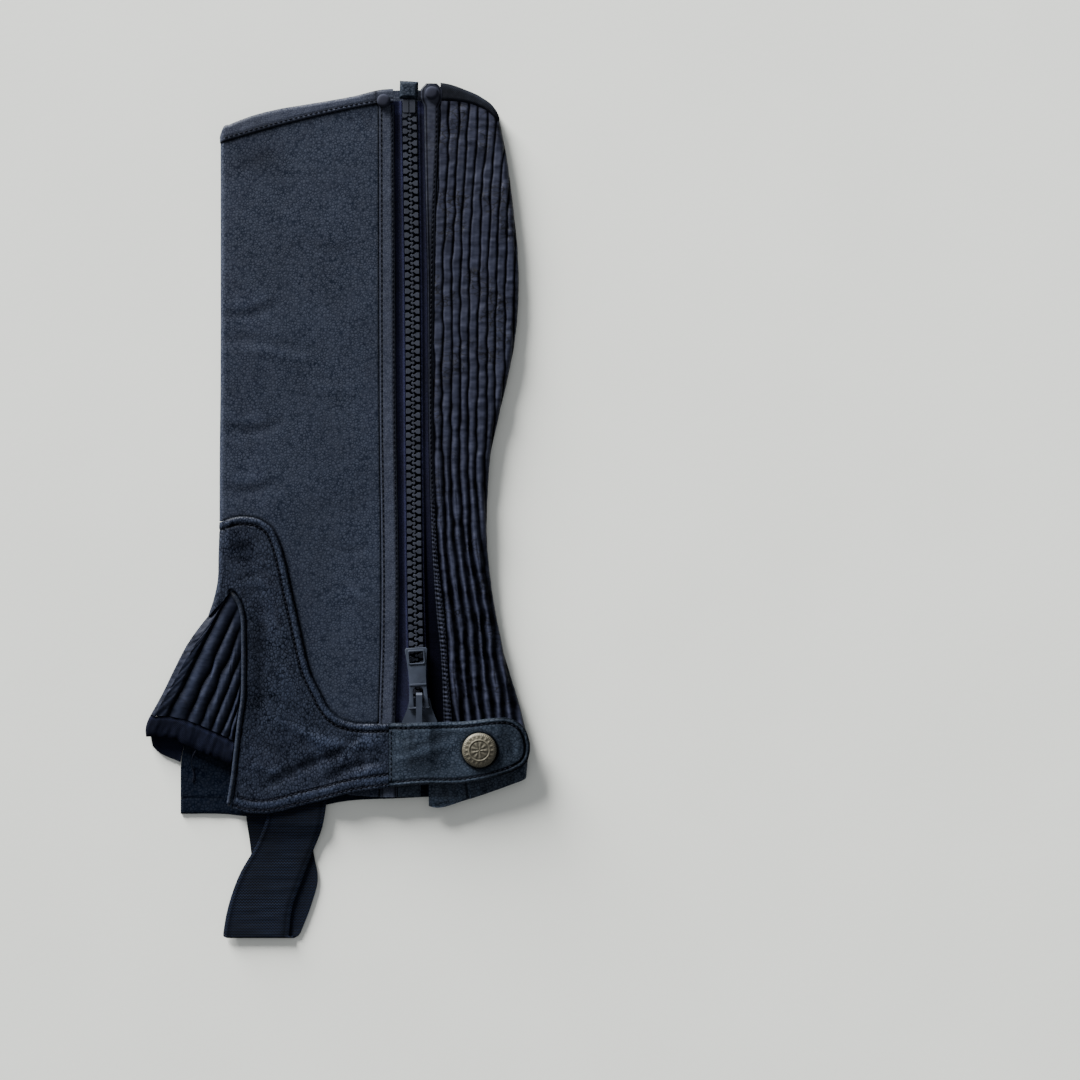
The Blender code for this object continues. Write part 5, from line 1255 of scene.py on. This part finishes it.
def stirrup():
    """The loop of elastic: its front run, its turn at the lower end and its back run, and the same of its inside."""
    turn_radius = ELASTIC + SEAM / 2
    turn_y = STIRRUP_END + turn_radius
    ys = np.concatenate([np.linspace(-157.0, -179.5, 21), np.linspace(-181.0, -194.0, 13),
                         np.linspace(-196, -246, 46), [turn_y]])
    across = evenly(29)

    def corner(y, radius):
        """How far the loop's edge is drawn in near its lower end, to round its corner."""
        off = np.clip(radius - (y - turn_y + turn_radius), 0.0, radius)
        return radius - np.sqrt(radius ** 2 - off ** 2)

    def run_rows(left, right, rounding, level):
        a, b = (smooth(left, ys) + corner(ys, 2.4))[:, None], (smooth(right, ys) - corner(ys, rounding))[:, None]
        drop = (LEATHER + SEAM) * step(STIRRUP_DROP[1], STIRRUP_DROP[0], ys)
        return stack(between(a, b, across), ys[:, None], (level + drop)[:, None])

    front, front_in = (run_rows(FRONT_LEFT, FRONT_RIGHT, 2.4, level) for level in (2 * ELASTIC + SEAM, ELASTIC + SEAM))
    back, back_in = (run_rows(BACK_LEFT, BACK_RIGHT, 3.2, level)[::-1] for level in (0.0, ELASTIC))
    turn, turn_in = [], []
    for angle in np.linspace(0, math.pi, 9)[1:-1]:
        left, right = between(front[-1, (0, -1), 0], back[0, (0, -1), 0], angle / math.pi)
        for radius, lines in ((turn_radius, turn), (SEAM / 2, turn_in)):
            lines.append(stack(between(left, right, across), turn_y - radius * math.sin(angle),
                               turn_radius + radius * math.cos(angle)))
    weave = 0.13 * noise(front[..., 1] / 1.5, across * 3, 95) + 0.1 * np.sin(across * 2 * math.pi * 13)
    front[..., 2] += weave - 0.35 * bumps(across, (1, 0, 0.02), (1, 1, 0.02))
    outer, inner = np.concatenate([front, turn, back]), np.concatenate([front_in, turn_in, back_in])
    # Dark lines in from each edge and lighter outer edges; on the back run, painted shade beside the front run's right
    # edge.
    border = bumps(across, (0.5, 0.075, 0.03), (0.5, 0.925, 0.03), (-0.55, 0.02, 0.025), (-0.55, 0.98, 0.025))
    tone = 0.05 - 0.05 * step(196.0, 226.0, -outer[..., 1]) + border
    tone[len(front) + len(turn):] -= 1.1 * bump(across, 0.93, 0.1)
    whole = (len(outer) - 1) // 4 * 4 + 1
    return shell("elastic_stirrup", outer[:whole], inner[:whole], ELASTIC_CLOTH, tone[:whole])


# ---------------------------------------------------------------- zip


def ankle(y):
    """1 where the zip's calf strip is puckered, by the ankle, and 0 above."""
    return step(22.0, -12.0, y)


def facing(name, left, right, top, foot, calf=False):
    """A strip of leather turned in at both edges, with a stitch row's dent in from each, painted dark as shade.
    The calf's is puckered, with painted highlights on the puckers.
    """
    bottom, level = FACING_LEVELS

    def rungs(share, y):
        return np.sin(2 * math.pi * (y / 2.45 + share * 0.35) + 1.8 * noise(y / 9.0, 0, 105)) * np.sin(math.pi * share)

    def relief(share, y, width):
        z = level + bumps(np.minimum(share, 1 - share) * width, (-0.7, 0, 0.55), (-0.2, FACING_STITCH, 0.4))
        z = z + 0.06 * noise(y / 4.0, share * 3, 101) + 0.05 * noise(y / 1.6, share * 5, 102)
        return z + calf * (0.22 * rungs(share, y) * ankle(y) + 0.55 * step(236.0, 240.0, y))

    def shade_and_tone(share, y, width):
        # Painted shade at the turned edges and in the stitch rows, and a painted highlight on the edges' ridge.
        off = np.minimum(share, 1 - share) * width
        tone = bumps(off, (0.95, 0, 0.65), (0.88, FACING_STITCH, 0.55), (-0.35, 0.75, 0.3))
        if not calf:
            return tone
        # The calf's strip darker below about 150 mm, painted highlights on its puckers by the ankle, a lighter line by
        # its right edge.
        low, middle = ankle(y), step(200.0, 150.0, y)
        tone = tone * (1 - 0.6 * middle) + 0.6 * middle + low * (0.12 - 1.6 * np.maximum(rungs(share, y), 0))
        return tone - bump(share, 0.93, 0.05) * middle * (1 - low)

    return strip(name, left, right, np.linspace(top, foot, 521), bottom, relief, CALF_EDGE if calf else FACING, shade_and_tone)


def facings():
    """The zip's two strips of leather and the shin strip's foot, which turns to the calf."""
    right = edge_of(SHIN_FACING_RIGHT)
    shin = facing("shin_facing_strip", edge_of(SHIN_FACING_LEFT), right, 234.9, -166.3)

    def tab(y, reach):
        """The rounded tab at the calf strip's top, which holds the rivet."""
        round_off = np.sqrt(np.clip(1 - np.clip((y - 241.5) / 6.0, 0, 1) ** 2, 0.05, 1))
        return reach * round_off * step(233.5, 239.0, y) - 2.2 * step(241.5, 247.2, y) ** 2

    calf = facing("calf_facing_strip", lambda y: smooth(CALF_FACING_LEFT, y) - tab(y, 1.9),
                  lambda y: smooth(CALF_FACING_RIGHT, y) + tab(y, 2.1), 247.2, CALF_TAPE_END, True)
    end, upper, lower = SHIN_FACING_FOOT
    bottom, level = FACING_LEVELS
    foot = strip("shin_facing_foot", lambda y: right(y) + 0.1, lambda y: end + 0 * y, np.linspace(upper, lower, 13),
                 bottom, lambda share, y, width: level + 0.1 * noise(share * 5, y / 3, 104) - 0.5 * bump(y, lower, 0.6),
                 STRAP, lambda share, y, width: 0.15)
    return shin, calf, foot


def tape(name, left, right, foot, shin):
    """One of the zip's woven tapes, with a cord along its inner edge that carries the teeth."""
    def off(share, width):
        return (1 - share if shin else share) * width

    def top(share, y, width):
        return TAPE_LEVELS[1] + 0.55 * bump(off(share, width), 0.7, 0.75) + 0.05 * noise(y / 1.2, share * 6, 111) - 0.1

    def shade_and_tone(share, y, width):
        # A painted highlight on the cord that carries the teeth and painted shade beside it; lighter above 230 mm, the
        # calf tape darker towards the ankle.
        cord = -1.4 * bump(off(share, width), 0.6, 0.34) * (0.75 + 0.25 * np.sin(y * 2 * math.pi / (TOOTH_PITCH / 2)))
        tone = cord + 0.5 * bump(off(share, width), 1.9, 0.7) - 1.3 * step(229.0, 230.5, y)
        return tone + (-0.3 if shin else 0.1 + 0.75 * step(30.0, -60.0, y))

    return strip(name, left, right, np.linspace(TAPE_TOP, foot, 401), TAPE_LEVELS[0], top, TAPE, shade_and_tone)


def prisms(name, outlines, levels):
    """Many small prisms as one mesh. Each outline is a list of (x, y); levels are (z, inset) from the bottom up."""
    points, faces = [], []
    for outline in outlines:
        outline = np.asarray(outline, float)
        centre = outline.mean(axis=0)
        faces += ringed(len(points), len(outline), len(levels))
        for z, inset in levels:
            off = outline - centre
            reach = np.linalg.norm(off, axis=1)[:, None]
            points += [(x, y, z) for x, y in centre + off * (1 - inset / np.maximum(reach, inset + 0.01))]
    return finish_mesh(name, points, faces, TEETH, sharp=25)


TOOTH_SIDE = [(5.1, 0.3), (4.8, 0.8), (4.2, 0.95), (3.6, 0.55), (3.1, 0.5), (2.4, 1.25), (1.7, 1.6), (0.0, 1.45)]
TOOTH = [(u, -v) for u, v in TOOTH_SIDE[::-1]] + TOOTH_SIDE
TOOTH_PITCH = 4.64


def teeth():
    """Moulded teeth, alternately from each side, their heads hooked past the middle line."""
    half = CHAIN_WIDTH / 2
    outlines = []
    for side in (-1, 1):
        y = 229.0 - (0.0 if side < 0 else TOOTH_PITCH / 2)
        while y > WEDGE_TOP + 1.4:
            middle = float(smooth(CHAIN, y))
            turn = 0.05 * float(noise(y, side, 121))
            outlines.append([(middle + side * (half - u), y + v + turn * u) for u, v in TOOTH])
            y -= TOOTH_PITCH
    return prisms("zip_teeth_row", outlines, [(2.9, 0.0), (5.6, 0.0), (5.9, 0.25)])


def zip_end(name, left):
    right, low, high = left + 3.4, 230.3, 238.2
    outline = [(left, low), (right, low), (right, high), (left, high)]
    return prisms(name, [outline], [(2.8, 0.0), (5.9, 0.0), (6.2, 0.3)])


def zip_tab():
    """A rounded leather tab over the zip's top end."""
    a, b, c, d = ((35.8, 238.9), (46.2, 238.5), (36.0, 248.9), (46.6, 248.3))
    u, v = evenly(21)[:, None], evenly(21)[None, :]
    x, y = ((a[i] * (1 - u) + b[i] * u) * (1 - v) + (c[i] * (1 - u) + d[i] * u) * v for i in (0, 1))
    off = np.minimum(np.minimum(u, 1 - u) * 10.4, np.minimum(v, 1 - v) * 10.0)
    z = 7.3 - 1.1 * bump(off, 0, 0.8) + 0.05 * noise(x / 3.2, y / 3.2, 131)
    # Painted shade at its rounded-down edges, over a darker tone.
    return shell("zip_top_tab", stack(x, y, z), 3.0, STRAP, 0.25 + 0.3 * bump(off, 0.4, 0.5))


def turned(name, profile, place, material, steps, relief=None):
    """A round piece from (radius, height) points, from its middle down its outer side. Relief adds height by radius
    and angle to its face."""
    angle = np.linspace(0, 2 * math.pi, steps, endpoint=False)
    points, tones = [(place[0], place[1], place[2] + profile[0][1])], [0.0]
    for r, z in profile[1:]:
        lift = relief(r, angle) if relief else 0 * angle
        points += list(zip(place[0] + r * np.cos(angle), place[1] + r * np.sin(angle), place[2] + z + lift))
        tones += list(lift)
    *sides, _, last = ringed(1, steps, len(profile) - 1)
    faces = [[0, 1 + k, 1 + (k + 1) % steps] for k in range(steps)] + sides + [last]
    return finish_mesh(name, points, faces, material, tones if relief else None, sharp=60)


def rivet(name, place):
    dome = [(0.0, 1.72), (1.2, 1.7), (2.2, 1.64), (2.9, 1.5), (3.4, 1.22), (3.7, 0.8), (3.85, 0.3), (3.85, -0.3)]
    return turned(name, dome, place, RIVET, 40)


def snap():
    """A domed cap with a plain generic pattern: a rosette, a ring and a row of small flutes round its edge."""
    outline = [(0.0, 2.55), (3.5, 2.5), (6.2, 2.35), (7.6, 2.1), (8.8, 1.85), (9.5, 1.35), (9.9, 0.8), (10.0, 0.5)]

    def relief(r, angle):
        petals = 0.26 * np.cos(9 * angle) * bump(r, 3.4, 1.6) + 0.22 * np.cos(5 * angle + 0.6) * bump(r, 1.3, 0.8)
        ring = 0.42 * bump(r, 5.9, 0.35) - 0.3 * bump(r, 5.2, 0.4)
        beads = 0.34 * np.maximum(np.cos(18 * angle), -0.4) * bump(r, 7.4, 0.7)
        return 0.55 * (petals + ring + beads) + 0.8 * 0.16 * np.cos(52 * angle) * bump(r, 9.0, 0.5)

    radii = np.concatenate([[0.0], np.linspace(0.4, 9.5, 34), [9.75, 9.9, 10.0]])
    profile = [(r, float(smooth(outline, r))) for r in radii] + [(9.8, 0.0)]
    level = STRAP_HEIGHTS[-1][1] + STRAP_WALL + SEAM
    return turned("snap_cap_face", profile, (*SNAP_CENTRE, level), BRASS, 208, relief)


def rounded_box(half, low, high, low_radius, high_radius, steps=6):
    """The outline of a box across Y, its lower and its upper corners rounded."""
    outline = []
    for side, end, radius, start in ((1, high, high_radius, 0), (-1, high, high_radius, 90),
                                     (-1, low, low_radius, 180), (1, low, low_radius, 270)):
        x, y = side * (half - radius), end - radius if start < 180 else end + radius
        for angle in np.radians(np.linspace(start, start + 90, steps + 1)):
            outline.append((x + radius * math.cos(angle), y + radius * math.sin(angle)))
    return outline


def plate(rings, thick, bevel, level):
    """A flat plate with holes and softened edges, as points in its own frame."""
    curve = bpy.data.curves.new("plate", "CURVE")
    curve.dimensions = "2D"
    curve.fill_mode = "BOTH"
    curve.extrude = (thick / 2 - bevel) * MM
    curve.bevel_depth = bevel * MM
    curve.bevel_resolution = 2
    curve.offset = -bevel * MM
    for ring in rings:
        spline = curve.splines.new("POLY")
        spline.points.add(len(ring) - 1)
        for point, (x, y) in zip(spline.points, ring):
            point.co = (x * MM, y * MM, 0.0, 1.0)
        spline.use_cyclic_u = True
    flat = bpy.data.objects.new("plate", curve)
    bpy.context.scene.collection.objects.link(flat)
    bpy.context.view_layer.update()
    mesh = bpy.data.meshes.new_from_object(flat.evaluated_get(bpy.context.evaluated_depsgraph_get()))
    bpy.data.objects.remove(flat)
    build = bmesh.new()
    build.from_mesh(mesh)
    bpy.data.meshes.remove(mesh)
    bmesh.ops.remove_doubles(build, verts=build.verts, dist=0.000002)
    bmesh.ops.translate(build, verts=build.verts, vec=(0, 0, level * MM))
    return build


BLADE_SIDE = [(5.7, 34.9), (6.5, 33.8), (5.8, 28.0), (5.2, 22.0), (5.0, 17.0), (5.0, 12.0), (5.3, 6.0), (5.9, 0.0)]


def pull():
    """The pull tab: a plate with a window, a raised rim round it, a ledge and a slot that holds its bar."""
    blade = [(-x, y) for x, y in BLADE_SIDE[::-1]] + BLADE_SIDE
    window = rounded_box(4.1, 26.0, 32.6, 0.8, 0.8)
    slot = rounded_box(3.0, 0.6, 12.3, 0.8, 2.6)
    rim = rounded_box(5.0, 25.1, 33.6, 1.2, 1.2)
    ledge = [(-4.9, 12.9), (4.9, 12.9), (4.9, 14.1), (-4.9, 14.1)]
    bar = bmesh.new()
    bmesh.ops.create_cone(bar, cap_ends=True, segments=20, radius1=PULL_BAR_RADIUS * MM, radius2=PULL_BAR_RADIUS * MM,
                          depth=11.8 * MM)
    bmesh.ops.rotate(bar, verts=bar.verts, matrix=Matrix.Rotation(math.radians(90), 3, "Y"))
    tilt = Matrix.Rotation(math.radians(PULL_REST_TILT), 3, "X") @ Matrix.Rotation(math.radians(3.2), 3, "Z")
    points, faces = [], []
    for part in (plate([blade, window, slot], PULL_WALL, 0.22, 0.0), plate([rim, window], 0.9, 0.25, 0.55),
                 plate([ledge], 0.7, 0.2, 0.6), bar):
        base = len(points)
        part.verts.index_update()
        points += [tuple(tilt @ (v.co / MM) + Vector(PULL_AXIS)) for v in part.verts]
        faces += [[base + v.index for v in face.verts] for face in part.faces]
        part.free()
    return finish_mesh("pull_tab", points, faces, PAINT, sharp=40, body="pull")


# ---------------------------------------------------------------- stitches


def beside(line, off):
    """A line moved to its right by this much."""
    along = np.gradient(line, axis=0)
    return line + off * np.stack([along[:, 1], -along[:, 0]], 1) / np.linalg.norm(along, axis=1)[:, None]


def stitches():
    """Every row of stitches, as joined meshes that lie on the leather."""
    def row(left, y_from, y_to):
        ys = np.linspace(y_from, y_to, 160)
        return stack(left(ys), ys)

    facing_rows = [row(edge_of(SHIN_FACING_LEFT, FACING_STITCH), 233.5, -120.5),
                   row(edge_of(SHIN_FACING_RIGHT, 0.1 - FACING_STITCH), 233.5, -119.0),
                   row(edge_of(CALF_FACING_RIGHT, -FACING_STITCH), 236.0, -118.0)]
    sewn("facing_stitches", facing_rows, lambda x, y: FACING_LEVELS[1] - 0.12 + 0 * x)
    xs = np.linspace(-66.0, 24.0, 90)
    sewn("binding_stitches", [stack(xs, smooth(LEG_TOP_LOWER, xs) + BINDING_STITCH)],
         lambda x, y: TOP_OUTSIDE + BINDING_RISE - 0.2 + 0 * x)
    hems = [beside(HEM_LINE, -off)[1:] for off in HEM_STITCHES]
    sewn("foot_stitches", [beside(ARCH_LINE[4:], ARCH_STITCH)] + hems, foot_height)
    seam = stack(31.0, np.linspace(-127.0, -157.0, 30))
    sewn("strap_stitches", [beside(STRAP_TOP_LINE[3:-9], STRAP_STITCH), beside(STRAP_LOW_LINE[3:-12], -STRAP_STITCH),
                            seam], strap_top)


def thread_end():
    """The loose end of thread that hangs from the gusset's tape."""
    line = [(-82.5, -139.5, 5.4), (-84.6, -143.5, 4.2), (-85.2, -148.6, 2.2), (-84.0, -154.0, 1.9),
            (-84.9, -158.0, 1.8)]
    return tube("loose_thread", path(line, evenly(40)), 0.28, THREAD, 8)


# ---------------------------------------------------------------- the half chap, dressed

BESIDE_CHAIN = CHAIN_WIDTH / 2 + SEAM

dress(leg_panel(), ["leg_panel"])
dress(calf_panel(), ["calf_panel"])
dress(leg_binding(), ["binding_leg"])
dress(calf_binding(), ["binding_calf"])
dress(calf_hem(), ["calf_hem"])
dress(foot_panel(), ["foot_panel_outer"])
dress(inner_foot_panel(), ["foot_panel_inner"])
dress(piping(), ["foot_piping"])
dress(gusset(), ["gusset"])
dress(gusset_binding(), ["gusset_binding"])
dress(strap(), ["strap"])
dress(stirrup(), ["stirrup"])
SHIN_STRIP, CALF_STRIP, STRIP_FOOT = facings()
dress(SHIN_STRIP, ["facing_shin"])
dress(CALF_STRIP, ["facing_calf"])
dress(STRIP_FOOT, [])
dress(tape("shin_tape", edge_of(SHIN_FACING_RIGHT, -6.0), edge_of(CHAIN, -BESIDE_CHAIN), SHIN_TAPE_END, True),
      ["tape_shin"])
dress(tape("calf_tape", edge_of(CHAIN, BESIDE_CHAIN), edge_of(CALF_FACING_RIGHT, -SEAM), CALF_TAPE_END, False),
      ["tape_calf"])
dress(teeth(), ["zip_teeth"])
dress(zip_end("zip_box_block", 37.7), ["zip_box"])
dress(zip_end("zip_pin_block", 41.5), ["zip_pin"])
dress(zip_tab(), ["zip_tab"])
dress(rivet("shin_rivet_dome", SHIN_RIVET), ["rivet_shin"])
dress(rivet("calf_rivet_dome", CALF_RIVET), ["rivet_calf"])
dress(snap(), ["snap_cap"])
dress(pull(), ["zip_pull"])
stitches()
thread_end()
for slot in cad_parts["zip_slider"].material_slots:
    slot.material = PAINT

# ---------------------------------------------------------------- floor, camera and light

FLOOR_HALF, FLOOR_LEVEL = 8, -0.0002
SUN_WAY = (-0.52, 0.854, math.tan(math.radians(10.2)))
SKY_COLOUR, SKY_STRENGTH = (0.96, 0.98, 1.0, 1.0), 0.34
CAMERA_PLACE = (0.1172, -0.0173, 1.305)


def place(name, data):
    made = bpy.data.objects.new(name, data)
    bpy.context.scene.collection.objects.link(made)
    return made


def floor():
    """A pale floor, painted a little brighter towards the top of the picture as a painted light falloff."""
    mesh = bpy.data.meshes.new("studio_floor")
    corners = [(x * FLOOR_HALF, y * FLOOR_HALF, FLOOR_LEVEL) for x, y in ((-1, -1), (1, -1), (1, 1), (-1, 1))]
    mesh.from_pydata(corners, [], [(0, 1, 2, 3)])
    m = Shader("pale_floor", 0.2)
    # Painted light falloff: the colour rises towards the top of the picture.
    up = m.spread(m.split(m.where)["Y"], -0.4, 0.36, 0.945, 1.04)
    m.colour((0.940, 0.960, 0.915), m.times(up, m.uneven(m.noise(9.0, 3.0), 0.985, 1.015)))
    m.rough(0.85)
    m.relief((m.noise(300.0, 3.0), 0.05, 0.3))
    mesh.materials.append(m.material)
    place("studio_floor", mesh)


floor()
sun = bpy.data.lights.new("key", "SUN")
sun.energy, sun.angle, sun.color = 20.7, 0.5, (1.0, 1.0, 0.975)
place("key", sun).rotation_euler = Vector(SUN_WAY).to_track_quat("Z", "Y").to_euler()

world = bpy.data.worlds.new("studio")
world.use_nodes = True
sky = world.node_tree.nodes["Background"].inputs
sky["Color"].default_value, sky["Strength"].default_value = SKY_COLOUR, SKY_STRENGTH
bpy.context.scene.world = world

view = bpy.data.cameras.new("photo_view")
view.sensor_width = 36.0
view.lens = 74.7
view.clip_end = 20.0
camera = place("photo_view", view)
camera.location = CAMERA_PLACE
bpy.context.scene.camera = camera
